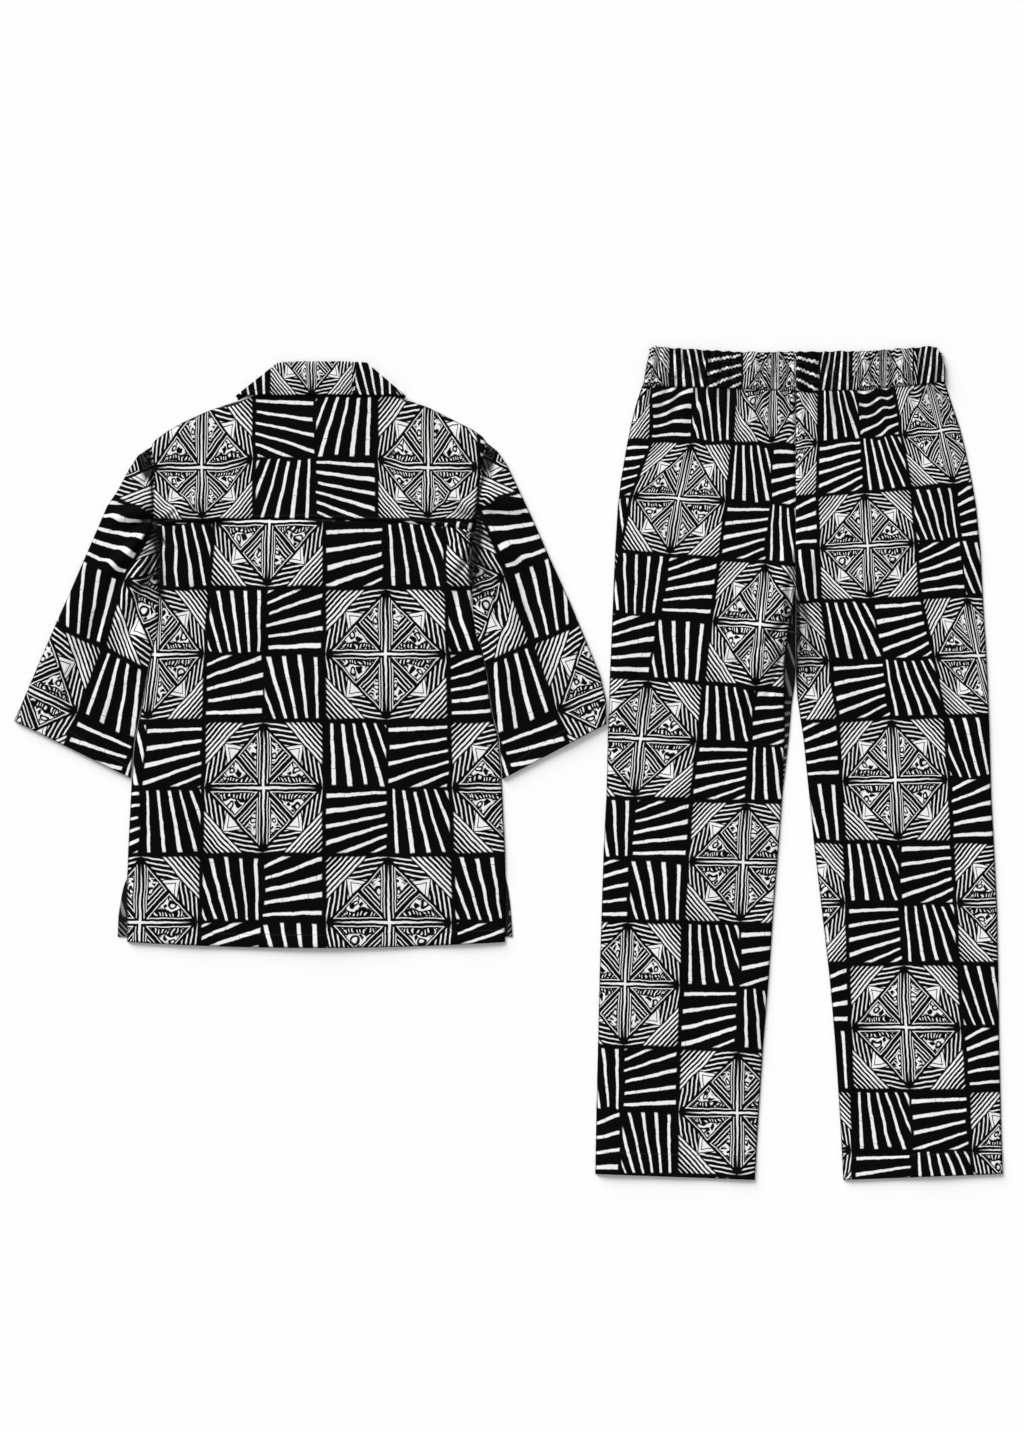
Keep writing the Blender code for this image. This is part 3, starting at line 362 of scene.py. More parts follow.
mathNodes = dict(__add__="ADD", __sub__="SUBTRACT", __mul__="MULTIPLY", __truediv__="DIVIDE",
                 __abs__="ABSOLUTE", floor="FLOOR", fract="FRACT", least="MINIMUM", most="MAXIMUM",
                 sine="SINE", root="SQRT")
for name, operation in mathNodes.items():
    setattr(Value, name, lambda self, *others, operation=operation: self.math(operation, *others))


def addNode(tree, kind, inputs, **settings):
    # A shader node: each input gets a link from a Value or a socket, or else a fixed number
    node = tree.nodes.new("ShaderNode" + kind)
    for key, setting in settings.items():
        setattr(node, key, setting)
    for key, given in inputs.items():
        given = given.socket if isinstance(given, Value) else given
        if isinstance(given, bpy.types.NodeSocket):
            tree.links.new(given, node.inputs[key])
        else:
            node.inputs[key].default_value = given
    return node


def parts(tree, vector):
    return [Value(tree, socket) for socket in addNode(tree, "SeparateXYZ", {0: vector}).outputs]


# Measures of the print as shares of a tile, and of the medallion where 1 is at its tile's edge
printed = dict(shift=0.014, margin=0.482, medallion=2.09, belt=(1.025, 1.350), stripes=1.385,
               core=0.021, coreLine=0.067, line=0.0070, fanGap=0.168, fanSpread=0.088)


def makePrintGroup():
    # The print: a checkerboard of two square tiles. One has four fans of tapering strips, the other a
    # diamond cut by a cross and its diagonals, with nested lines, dots and rings between hatched bands.
    tree = bpy.data.node_groups.new("patchworkPrint", "ShaderNodeTree")
    tree.interface.new_socket("Place", in_out="INPUT", socket_type="NodeSocketVector")
    tree.interface.new_socket("Ink", in_out="OUTPUT", socket_type="NodeSocketFloat")
    place = tree.nodes.new("NodeGroupInput").outputs["Place"]

    def noise(source, scale, detail):
        given = dict(Vector=source, Scale=scale, Detail=detail)
        return addNode(tree, "TexNoise", given, noise_dimensions="2D").outputs["Color"]

    def wobble(source, scale, amount):
        # Adds amount * noise to the place, so that lines look drawn by hand
        given = {0: noise(source, scale, 1.0), 1: (amount, amount, 0.0), 2: source}
        return addNode(tree, "VectorMath", given, operation="MULTIPLY_ADD").outputs[0]

    def chances(a, b, c):
        # Three random numbers for each cell
        cell = addNode(tree, "CombineXYZ", {0: a, 1: b, 2: c}).outputs[0]
        node = addNode(tree, "TexWhiteNoise", {0: cell}, noise_dimensions="3D")
        return parts(tree, node.outputs["Color"])

    handDrawn = wobble(wobble(place, 5.0, 0.018), 26.0, 0.0065)
    u, v = [part - printed["shift"] for part in parts(tree, handDrawn)[:2]]
    column, row = u.floor(), v.floor()
    x, y = u - column, v - row
    medallionTile = ((column + row) * 0.5).fract().under(0.25, 0.01)

    # Strips: s runs across them and t along them, from where they are narrow to where they are wide.
    # In every other column the tile is turned by half a turn.
    turned = (column * 0.5).fract().over(0.25, 0.01)
    x2, y2 = x.blend(x.opposite(), turned) * 2.0, y.blend(y.opposite(), turned) * 2.0
    right, upper = x2.floor(), y2.floor()
    sx, sy = x2 - right, y2 - upper
    upright = abs(right - upper)
    s = sy.opposite().blend(sx, upright)
    t = sx.opposite().blend(sy.opposite(), upright)
    squareX, squareY = (u * 2.0).floor(), (v * 2.0).floor()
    chance = chances(squareX, squareY, 3.0)
    spacing = t.timesPlus(printed["fanSpread"], printed["fanGap"]) * chance[0].timesPlus(0.16, 0.92)
    q = (s - chance[1].timesPlus(0.05, -0.01)) / spacing
    own = chances(squareX + q.floor() * 0.37, squareY, 9.0)
    strip = q.lined(own[0].timesPlus(0.046, 0.097), 0.05)
    ends = t.over(own[1].timesPlus(0.05, 0.015), 0.02) * t.under(own[2].timesPlus(-0.05, 0.99), 0.02)
    ends = ends * s.over(0.02, 0.02) * s.under(0.985, 0.02)
    tick = (t * 2.3 + own[1] * 5.0).lined(0.010, 0.012) * (q * 0.5 + own[2] * 3.0).lined(0.3, 0.1)
    strips = strip * ends * tick.timesPlus(-0.65, 1.0)

    # Medallion, from its middle out to 1 at the tile's edge
    scale = printed["medallion"]
    ax, ay = abs(x.timesPlus(scale, -0.5 * scale)), abs(y.timesPlus(scale, -0.5 * scale))
    high, low = ax.most(ay), ax.least(ay)
    across, apart = ax + ay, high - low
    wide = ax.over(ay, 0.004)
    stripes = (across * 11.0).lined(across.timesPlus(-0.32, 0.730), 0.10)
    stripes = stripes * across.over(printed["stripes"], 0.015)

    # The belt round the diamond: hatching, and in the middle of each side a tooth with a smaller one in it
    hatch = (high * 11.0 + across * 2.2).lined(0.15, 0.10)
    tooth = apart + across.timesPlus(0.75, -1.03)
    solid = tooth.under(-0.018, 0.015) * abs(tooth + 0.105).over(0.013, 0.012)
    belt = hatch.blend(solid, tooth.under(0.014, 0.015))
    belt = belt * across.over(printed["belt"][0], 0.015) * across.under(printed["belt"][1], 0.015)

    # The cross: a white core that ends before the corners, and a thin line on both sides of it
    core, line = printed["core"], printed["line"]
    crossCore = low.under(high.timesPlus(-0.016, core), 0.008) * high.under(0.80, 0.20)
    crossSide = abs(low - printed["coreLine"]).under(line, 0.008) * across.under(0.955) * wide.opposite()
    fromSide = low + wide.timesPlus(0.044, -0.098)
    inside = fromSide.least((apart - 0.040) * 0.7071).least(across.timesPlus(-0.7071, 0.683))
    border = abs(inside - 0.010).under(line, 0.007)
    loose = parts(tree, noise(place, 13.0, 0.0))
    high, low = high + loose[0].timesPlus(0.11, -0.055), low + loose[1].timesPlus(0.11, -0.055)

    def ring(atHigh, atLow, wideness, tallness):
        awayHigh, awayLow = high - atHigh, low - atLow
        return (awayHigh * awayHigh * wideness + awayLow * awayLow * tallness).root()

    def spot(atHigh, atLow, size, wideness=1.0, tallness=1.0, soft=0.010):
        return (abs(high - atHigh) * wideness + abs(low - atLow) * tallness).under(size, soft)

    # The upright pairs of triangles: lines beside the diagonals, a ring and spots beside the cross, and a
    # dense tip
    ringA = ring(0.50, 0.165, 1.0, 1.4)
    markA = abs(ringA - 0.043).under(0.016, 0.010).most(spot(0.635, 0.145, 0.042, 1.0, 1.2))
    markA = markA.most(spot(0.37, 0.135, 0.036, 0.7, 1.2))
    bareA = ringA.under(0.098, 0.02).most(spot(0.635, 0.145, 0.085, soft=0.02))
    sideA = (high * 15.0 + low * 6.0).lined(0.132, 0.12).blend(markA.opposite(), bareA)
    dense = (across * 13.5).lined(0.17, 0.12) * (apart * 11.0).lined(0.34, 0.12)
    ruled = (apart * 11.5).lined(0.142, 0.11)
    fillA = ruled.blend(sideA, apart.over(high.timesPlus(0.50, 0.03), 0.01))
    fillA = fillA.blend(dense, high.over(0.70, 0.01))

    # The level pairs: short upright marks along the cross, and rings and blots above them
    ringB = ring(0.56, 0.285, 0.8, 1.0)
    markB = abs(ringB - 0.044).under(0.018, 0.010).most(spot(0.445, 0.240, 0.056))
    markB = markB.most(spot(0.505, 0.360, 0.036, 1.3))
    bareB = ringB.under(0.120, 0.02).most(spot(0.445, 0.240, 0.105, soft=0.02))
    blots = (apart * 12.0).lined(0.142, 0.11).blend(markB.opposite(), bareB)
    marks = (high * 15.5 + low * 4.0).lined(0.155, 0.12) * (low * 11.5).lined(0.32, 0.12)
    fillB = blots.blend(marks, low.under(0.195, 0.01)).blend(dense, high.over(0.72, 0.01))

    triangles = fillA.blend(fillB, wide) * inside.over(0.038, 0.008)
    medallion = triangles.most(border).most(crossSide).most(crossCore).most(belt).most(stripes)
    margin = abs(x - 0.5).most(abs(y - 0.5)).under(printed["margin"])
    ink = strips.blend(medallion, medallionTile) * margin
    tree.links.new(ink.socket, tree.nodes.new("NodeGroupOutput").inputs["Ink"])
    return tree


printGroup = makePrintGroup()


def newMaterial(name):
    material = bpy.data.materials.new(name)
    material.use_nodes = True
    return material, material.node_tree, material.node_tree.nodes["Principled BSDF"]


def objectPlace(tree):
    return addNode(tree, "TexCoord", {}).outputs["Object"]


def noiseAt(tree, where, scale, detail, roughness=0.5):
    given = dict(Vector=where, Scale=scale, Detail=detail, Roughness=roughness)
    return Value(tree, addNode(tree, "TexNoise", given).outputs["Fac"])


def scaled(colour, factor):
    return (*[min(c * factor, 0.9) for c in colour], 1.0)


def mixed(tree, share, first, second):
    return addNode(tree, "Mix", dict(Factor=share, A=first, B=second), data_type="RGBA").outputs["Result"]


def addBump(tree, surface, height, strength, distance):
    node = addNode(tree, "Bump", dict(Strength=strength, Distance=distance, Height=height))
    tree.links.new(node.outputs["Normal"], surface.inputs["Normal"])


# deepest and dark: how far painted shade can darken the cloth, and the near black it darkens towards
cloth = dict(threads=210.0, threadHeight=0.035, crease=0.0022, creaseStrength=0.55, specular=0.03,
             deepest=0.96, dark=(0.0015, 0.0015, 0.0018, 1.0))


def clothMaterial(name, black, white, ink=1.0):
    # Printed plain-weave cloth: print and threads follow the print coordinates, creases the object's, and
    # painted shade from the shade attribute darkens the colour
    material, tree, surface = newMaterial(name)
    where, place = objectPlace(tree), addNode(tree, "UVMap", {}, uv_map="print").outputs[0]
    group = addNode(tree, "Group", dict(Place=place), node_tree=printGroup)
    cloudy, speckle = noiseAt(tree, where, 34.0, 2.0), noiseAt(tree, where, 900.0, 1.0)
    dark = mixed(tree, cloudy, scaled(black, 0.62), scaled(black, 1.55))
    light = mixed(tree, speckle, scaled(white, 0.88), scaled(white, 1.06))
    colour = mixed(tree, Value(tree, group.outputs["Ink"]) * ink, dark, light)
    # Painted shade: the shade attribute darkens the colour towards a near black, by at most the deepest
    # share
    lost = Value(tree, addNode(tree, "Attribute", {}, attribute_name="shade").outputs["Fac"])
    lit = mixed(tree, lost.timesPlus(cloth["deepest"], 0.0, clamp=True), colour, cloth["dark"])
    tree.links.new(lit, surface.inputs["Base Color"])
    tree.links.new((cloudy * 0.10 + 0.74).socket, surface.inputs["Roughness"])
    surface.inputs["Specular IOR Level"].default_value = cloth["specular"]
    # Threads: sin(2 pi n u) * sin(2 pi n v), n to a tile, over fine creases
    u, v = [(part * (2 * math.pi * cloth["threads"])).sine() for part in parts(tree, place)[:2]]
    height = u * v * cloth["threadHeight"] + noiseAt(tree, where, 42.0, 4.0, 0.55)
    addBump(tree, surface, height, cloth["creaseStrength"], cloth["crease"])
    return material


def plainMaterial(name, colour, roughness, grain, grainHeight):
    material, tree, surface = newMaterial(name)
    noise = noiseAt(tree, objectPlace(tree), grain, 3.0)
    mottled = mixed(tree, noise, scaled(colour, 0.8), scaled(colour, 1.2))
    tree.links.new(mottled, surface.inputs["Base Color"])
    surface.inputs["Roughness"].default_value = roughness
    addBump(tree, surface, noise, 0.4, grainHeight)
    return material


clothRight = clothMaterial("printedCloth", (0.0016, 0.0016, 0.0021), (0.80, 0.80, 0.795))
clothWrong = clothMaterial("printedClothWrongSide", (0.013, 0.013, 0.014), (0.52, 0.52, 0.515), ink=0.80)
threadBlack = plainMaterial("blackThread", (0.018, 0.018, 0.020), 0.62, 2400.0, 0.0002)
buttonBlack = plainMaterial("blackButton", (0.014, 0.014, 0.016), 0.28, 300.0, 0.0001)
print("materials made")


# Meshes

def gridFaces(rows, columns, ring=False):
    # The cells of a grid of points, and the points' numbers. In a ring the last column meets the first.
    index = np.arange(rows * columns).reshape(rows, columns)
    if ring:
        index = np.concatenate([index, index[:, :1]], axis=1)
    cells = np.stack([index[:-1, :-1], index[:-1, 1:], index[1:, 1:], index[1:, :-1]], axis=-1)
    return cells.reshape(-1, 4), index


def tubeFaces(rings, sides):
    # The walls and the two flat ends of a body made of rings
    walls, index = gridFaces(rings, sides, ring=True)
    return [walls, np.stack([index[0, -2::-1], index[-1, :-1]])]


def makeObject(name, verts, faces, materials, kinds=None, uv=None):
    # A mesh object from arrays: faces is a list of arrays, each with one number of corners
    mesh = bpy.data.meshes.new(name)
    corners = np.concatenate([part.ravel() for part in faces])
    sizes = np.concatenate([np.full(len(part), part.shape[1]) for part in faces])
    mesh.vertices.add(len(verts))
    mesh.vertices.foreach_set("co", verts.astype(np.float32).ravel())
    mesh.loops.add(len(corners))
    mesh.loops.foreach_set("vertex_index", corners.astype(np.int32))
    mesh.polygons.add(len(sizes))
    mesh.polygons.foreach_set("loop_start", (np.cumsum(sizes) - sizes).astype(np.int32))
    mesh.polygons.foreach_set("loop_total", sizes.astype(np.int32))
    mesh.polygons.foreach_set("use_smooth", np.ones(len(sizes), dtype=bool))
    if uv is not None:
        mesh.polygons.foreach_set("material_index", kinds.astype(np.int32))
        mesh.uv_layers.new(name="print").data.foreach_set("uv", uv[corners].astype(np.float32).ravel())
    mesh.update(calc_edges=True)
    mesh.validate()
    for material in materials:
        mesh.materials.append(material)
    piece = bpy.data.objects.new(name, mesh)
    bpy.context.scene.collection.objects.link(piece)
    return piece


def leaf(name, outer, inner, uv, shade, place, ring=False, materials=(clothRight, clothWrong)):
    # A closed body between two grids of points, with the outer one facing out
    rows, columns = outer.shape[:2]
    verts = np.concatenate([outer.reshape(-1, 3), inner.reshape(-1, 3)]) + np.array([*place, 0.0])
    outerFaces, index = gridFaces(rows, columns, ring)
    rims = [(index[0, :-1], index[0, 1:]), (index[-1, 1:], index[-1, :-1])]
    if not ring:
        rims += [(index[1:, 0], index[:-1, 0]), (index[:-1, -1], index[1:, -1])]
    rimFaces = [np.stack([p, p + rows * columns, q + rows * columns, q], axis=-1) for p, q in rims]
    faces = np.concatenate([outerFaces, outerFaces[:, ::-1] + rows * columns, *rimFaces])
    kinds = np.zeros(len(faces))
    kinds[len(outerFaces):2 * len(outerFaces)] = len(materials) - 1
    piece = makeObject(name, verts, [faces], materials, kinds, np.tile(uv.reshape(-1, 2), (2, 1)))
    # The shade attribute carries each point's painted shade, which darkens the cloth's colour
    lost = piece.data.attributes.new(name="shade", type="FLOAT", domain="POINT")
    lost.data.foreach_set("value", np.tile(shade.ravel(), 2).astype(np.float32))
    print(name, len(faces) * 2, "triangles")
    return piece


def shell(name, grids, uv, shade, place, ring=False, thickness=clothThickness, **look):
    # Cloth of even thickness: the outer skin given, and inner = outer - thickness * normal, with
    # normal = d skin / d column x d skin / d row, made to point up on the upper side
    skin = np.stack(grids, axis=-1)
    ahead = np.roll(skin, -1, axis=1) - np.roll(skin, 1, axis=1) if ring else np.gradient(skin, axis=1)
    normal = np.cross(ahead, np.gradient(skin, axis=0))
    normal /= np.maximum(np.linalg.norm(normal, axis=2, keepdims=True), 1e-12)
    upperSide = normal[:, :skin.shape[1] // 2, 2] if ring else normal[..., 2]
    if upperSide.mean() < 0:
        skin, uv, normal, shade = skin[::-1], uv[::-1], -normal[::-1], shade[::-1]
    return leaf(name, skin, skin - thickness * normal, uv, shade, place, ring, **look)


def finishPiece(piece, node):
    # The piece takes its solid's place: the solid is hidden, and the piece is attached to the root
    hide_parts(node)
    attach(piece, "root")


# Heights of the cloth's upper side

seamHeight, edgeReach = 0.0012, 0.014       # at a seam, and how far in the cloth reaches its own height
shirtRest, shirtLeast = 0.0035, 0.0021      # of the shirt between the folds, and in the deepest trough
trousersRest, trousersLeast = 0.0032, 0.0019


def overCollar(x, up):
    # 1 where the collar's points lie under the fronts
    return fade(np.abs(x - collarMiddle), 0.112, 0.150) * smooth(up, 0.575, 0.606)


def fromSides(x, up):
    # Distance in from the shirt body's left or right edge, whichever is nearer
    return np.minimum(x - read(shirtOutline, up, "left"), read(shirtOutline, up, "right") - x)


def shirtTop(x, up):
    # Height of the back, the yoke and the sleeves: down at the side and shoulder seams, level in between,
    # with every fold and ripple
    side, shoulder = fromSides(x, up), read(shoulders, x, "up", "x") - up
    atSide = fade(up, underarm - 0.03, underarm + 0.01)
    edge = np.minimum(along(1.0, rounded(side, edgeReach), atSide), rounded(shoulder, edgeReach))
    edge = np.where(side > -0.0005, edge, 1.0)
    placket = 0.0009 * fade(np.abs(x), 0.018, 0.070) * fade(up, 0.664, 0.690)
    body = shirtRest + placket + ridges(shirtFolds, x, up) + ripple(shirtWaves, x, up)
    return along(seamHeight, np.maximum(body, shirtLeast), edge)


def seamGroove(distance, depth=0.0011, width=0.0026):
    # Cloth turns down into a seam: depth * exp(-(distance / width)^2)
    return -depth * bell(distance, 0.0, width)


hemRise, hemStitch = 0.00045, 0.0022        # a hem's doubled cloth, and its stitches in from the fold


def hemBand(distance, width):
    # A hem's doubled cloth stands up, and sinks a little at the row of stitches
    return hemRise * fade(distance, width - 0.0008, width + 0.0012) \
        - 0.0004 * bell(distance, width - hemStitch, 0.0011)


def armGroove(x, up):
    # The armhole seam, on the body and on the sleeve, above the underarm
    return seamGroove(np.abs(fromSides(x, up))) * smooth(up, underarm - 0.01, underarm + 0.005)


# Shirt back and yoke: rows from way 0 up to way 1, and columns from the left side to the right

back = dict(slot="shirt_cloth", flat=(0.478, 0.545), length=yokeSeamLeft - hemSide, width=0.470, hem=0.018)
yoke = dict(slot="shirt_cloth", flat=(0.425, 0.180), length=0.165, width=0.410, stitches=0.0050)


def bodyColumns(width, step, near, reach):
    # Shares across, closer at the sides and in the folds beside the armholes
    return shareStations(width, step, (0.0, 0.0010, 0.005), (width, 0.0010, 0.005), (0.02, near, reach),
                         (width - 0.02, near, reach))


def acrossBody(leftUp, rightUp, columns):
    left, right = read(shirtOutline, leftUp, "left"), read(shirtOutline, rightUp, "right")
    return along(left[:, None], right[:, None], columns)


def bow(share):
    # 4 s (1 - s)
    return 4.0 * share * (1.0 - share)


def backPlan(ways, columns):
    # From the hem to the yoke seam
    leftUp, rightUp = along(hemSide, yokeSeamLeft, ways), along(hemSide, yokeSeamRight, ways)
    curve = along(-hemSide, yokeSeamRise, ways)
    up = along(leftUp[:, None], rightUp[:, None], columns) + curve[:, None] * bow(columns)
    return acrossBody(leftUp, rightUp, columns), up


def yokePlan(ways, columns):
    # From the yoke seam to the shoulders and the neck
    topLeft, topRight = sleeves["left"]["shoulder"], sleeves["right"]["shoulder"]
    topX = along(read(shirtOutline, topLeft, "left"), read(shirtOutline, topRight, "right"), columns)
    topUp = read(shoulders, topX, "up", "x")
    topUp[0], topUp[-1] = topLeft, topRight
    seamUp = along(yokeSeamLeft, yokeSeamRight, columns) + yokeSeamRise * bow(columns)
    x = acrossBody(along(yokeSeamLeft, topLeft, ways), along(yokeSeamRight, topRight, ways), columns)
    return x, along(seamUp, topUp, ways[:, None])


def yokeRise(fromSeam):
    # The yoke's turned edge stands up beside its seam
    return 0.0005 * fade(fromSeam, 0.001, 0.009)


def yokePrint(x, up):
    # Columns as on the back, mirrored. The tiles' middle line lies lower beside the shoulders.
    px, py = pixels(shirtPixel, x, up)
    u = np.interp(px, [50, 150, 254, 377, 479, 580], [3.0, 2.0, 1.0, 0.0, -1.0, -2.0])
    middle = 458.0 + 10.0 * smooth(np.abs(px - 315.0), 55.0, 95.0)
    half = np.where(py > middle, 520.0 - middle, middle - 395.0)
    return np.stack([u, 1.5 - 0.5 * (py - middle) / half], axis=-1)


length = back["length"]
ways = shareStations(length, 0.0042, (0.0, 0.0009, 0.003), (back["hem"], 0.0011, 0.004),
                     (length, 0.0009, 0.004), (0.485, 0.0022, 0.040))
x, up = backPlan(ways, bodyColumns(back["width"], 0.0040, 0.0022, 0.026))
fromHem = (ways * length)[:, None] + 0.0 * x
z = shirtTop(x, up) + seamGroove(length - fromHem) + armGroove(x, up) + hemBand(fromHem, back["hem"])
z = z - 0.0004 * fade(fromHem, 0.0, 0.004)
laid = bentPrint(backLines, shirtPixel, x, up) + slide(shirtFolds, x, up)
sideSeam = fromSides(x, up) + 0.01 * smooth(up, underarm - 0.02, underarm)
shade = dim(shirtFolds, shirtShades, x, up, np.minimum(sideSeam, fromHem))
shirtBack = shell("shirtBack", (x, up, z), laid, shade, shirtPlace)
finishPiece(shirtBack, "shirt_back")

length = yoke["length"]
ways = shareStations(length, 0.0036, (0.0, 0.0009, 0.004), (length, 0.0012, 0.006))
x, up = yokePlan(ways, bodyColumns(yoke["width"], 0.0036, 0.0020, 0.022))
fromSeam = ways[:, None] * (up[-1] - up[0])
z = shirtTop(x, up) + yokeRise(fromSeam) + seamGroove(fromSeam, 0.0012, 0.0016) + armGroove(x, up) \
    - 0.00035 * bell(fromSeam, yoke["stitches"], 0.0011)
laid = yokePrint(x, up) + slide(shirtFolds, x, up)
shade = dim(shirtFolds, shirtShades, x, up, read(shoulders, x, "up", "x") - up)
shirtYoke = shell("shirtYoke", (x, up, z), laid, shade, shirtPlace)
finishPiece(shirtYoke, "shirt_yoke")

# Shirt fronts, under the back
front = dict(slot="shirt_cloth", flat=(0.255, 0.690), width=0.25, overlap=0.015,
             lift=dict(left=0.0017, right=0.0026, collar=0.0017),
             print=dict(origin=shirtPixel, column=318, row=455, size=(125, 133), tile=(0.5, 4.5)))


def frontTop(x):
    # The shoulder seam, and between the shoulders the neckline's parabola
    shoulder = read(shoulders, x, "up", "x")
    away = np.abs(x - collarMiddle) / neckHalfWidth
    neck = along(neckFront, read(shoulders, neckHalfWidth, "up", "x"), away ** 2)
    return np.where(away < 1.0, np.minimum(neck, shoulder), shoulder)


def makeFront(side, sign, shoulder):
    # Rows from the hem to the shoulder and the neckline, columns from the side to the placket's edge
    width, height, inner = front["width"], shoulder - frontHem, -front["overlap"] * sign
    fromHem = stations(height, 0.0070, [(0.0, 0.0012, 0.003), (0.02, 0.0018, 0.004)])[:, None]
    share = shareStations(width, 0.0065, (0.0, 0.0012, 0.004), (width, 0.0012, 0.004), (0.21, 0.003, 0.012))
    sideUp = frontHem + fromHem
    topUp = frontTop(along(read(shirtOutline, shoulder, side), inner, share))
    topUp[0] = shoulder
    edge = read(shirtOutline, sideUp, side) + sign * read(slitShow, sideUp, side)
    x = along(edge, inner, share)
    up = sideUp + (topUp - shoulder) * smooth(fromHem / height, 0.45, 1.0)
    lift = front["lift"][side] * fade(np.abs(x), 0.018, 0.040)
    lift = np.maximum(lift, front["lift"]["collar"] * overCollar(x, up))
    hem = 0.0003 * fade(fromHem, 0.017, 0.020)
    wave = 0.0002 * (1.0 + np.sin(23.0 * x + 31.0 * up)) * smooth(np.abs(x - edge), 0.0, 0.03)
    z = floorGap + clothThickness + lift + hem + wave
    # Painted shade where the front shows at the side slit, under the back's edge
    shade = 0.50 * fade(np.abs(x - edge), 0.012, 0.020) * fade(up, slitTop - 0.01, slitTop + 0.01)
    # The right side of a front faces the surface, and its skin is given from above
    laid = evenPrint(front["print"], x, up)
    piece = shell("shirtFront" + side.title(), (x, up, z), laid, shade, shirtPlace,
                  materials=(clothWrong, clothRight))
    finishPiece(piece, "shirt_front_" + side)


for side, own in sleeves.items():
    makeFront(side, own["sign"], own["shoulder"])

# Sleeves: flattened tubes. The print follows a sleeve's own axes, across it and along it, in pixels.
sleeve = dict(slot="shirt_cloth", flat=(0.400, 0.380), area=0.080, length=0.370, width=0.190, hem=0.026)
sleevePrints = {
    "left": dict(across=(0.894, 0.447), along=(-0.445, 0.896), rows=(396.0, 535.0), turn=1.0,
                 line=([466.8, 536.6, 638.4], [369.8, 382.4, 391.3])),
    "right": dict(across=(0.917, -0.398), along=(0.398, 0.917), rows=(658.0, 802.0), turn=-1.0,
                  line=([721.7, 806.3, 909.6], [236.6, 230.9, 225.3])),
}
sleeveTile = 125.0


def sleevePrint(side, x, up):
    # u = turn * (c - line(a)) / tile and v = (lower - a) / (lower - upper), with a and c the pixel's places
    # along and across
    own, (px, py) = sleevePrints[side], pixels(shirtPixel, x, up)
    a = px * own["along"][0] + py * own["along"][1]
    c = px * own["across"][0] + py * own["across"][1]
    upper, lower = own["rows"]
    u = own["turn"] * (c - np.interp(a, *own["line"])) / sleeveTile
    return np.stack([u, (lower - a) / (lower - upper)], axis=-1)


def sleevePlan(side, ways, shares):
    # A patch blended from its four edges: rows from the armhole to the cuff, columns from the outer fold
    # to the underarm
    own = sleeves[side]
    armUp = along(own["shoulder"], underarm, shares)
    armhole = np.column_stack([read(shirtOutline, armUp, side) + own["sign"] * 0.0001, armUp])
    line = np.concatenate([armhole[:1], np.column_stack([own["outer"]["x"], own["outer"]["up"]])])
    run = distances(line)
    outer = np.column_stack([np.interp(ways * run[-1], run, line[:, k]) for k in range(2)])
    innerUp = along(underarm, own["cuffInner"], ways)
    gap = 0.0001 + own["cuffGap"] * ways ** 0.6
    inner = np.column_stack([read(shirtOutline, innerUp, side) + own["sign"] * gap, innerUp])
    cuff = along(outer[-1], inner[-1], shares[:, None])
    s, w = shares[None, :, None], ways[:, None, None]
    blended = along(outer[:, None], inner[:, None], s) + along(armhole[None], cuff[None], w)
    corners = along(along(armhole[0], armhole[-1], s), along(cuff[0], cuff[-1], s), w)
    return np.moveaxis(blended - corners, -1, 0)


def tube(upper, lower):
    # Once round a flattened tube: over the top from fold to fold and back below
    return np.concatenate([upper, lower[:, ::-1]], axis=1)


def fromFolds(x, up):
    # Distance of each point of a row from the row's nearer end
    step = np.hypot(np.diff(x, axis=1), np.diff(up, axis=1))
    run = np.concatenate([np.zeros((len(x), 1)), np.cumsum(step, axis=1)], axis=1)
    return np.minimum(run, run[:, -1:] - run)


def makeSleeve(side):
    # The folds are rounded: both sides come to the same height there
    length, width, middle = sleeve["length"], sleeve["width"], 0.0017
    ways = shareStations(length, 0.0042, (0.0, 0.0010, 0.005), (0.025, 0.0022, 0.030),
                         (length, 0.0009, 0.003), (length - sleeve["hem"], 0.0011, 0.004))
    shares = shareStations(width, 0.0040, (0.0, 0.00035, 0.003), (width, 0.00035, 0.003),
                           (0.10, 0.0026, 0.05))
    x, up = sleevePlan(side, ways, shares)
    distance, fromCuff = fromFolds(x, up), (1.0 - ways)[:, None] * length + 0.0 * x
    top = shirtTop(x, up) + armGroove(x, up) + hemBand(fromCuff, sleeve["hem"])
    top = along(middle, top, rounded(distance, 0.0045))
    bottom = along(middle, 0.0002, rounded(distance, 0.0030))
    laid = sleevePrint(side, x, up) + slide(shirtFolds, x, up)
    below = np.stack([laid[:, :1, 0] * 2.0 - laid[..., 0][:, ::-1], laid[..., 1][:, ::-1]], axis=-1)
    shade = dim(shirtFolds, shirtShades, x, up, np.minimum(distance, fromCuff))
    grids = tube(x, x), tube(up, up), tube(top, bottom)
    uv = np.concatenate([laid, below], axis=1)
    piece = shell("sleeve" + side.title(), grids, uv, tube(shade, 0.0 * x), shirtPlace, ring=True)
    finishPiece(piece, "shirt_sleeve_" + side)


for side in sleeves:
    makeSleeve(side)

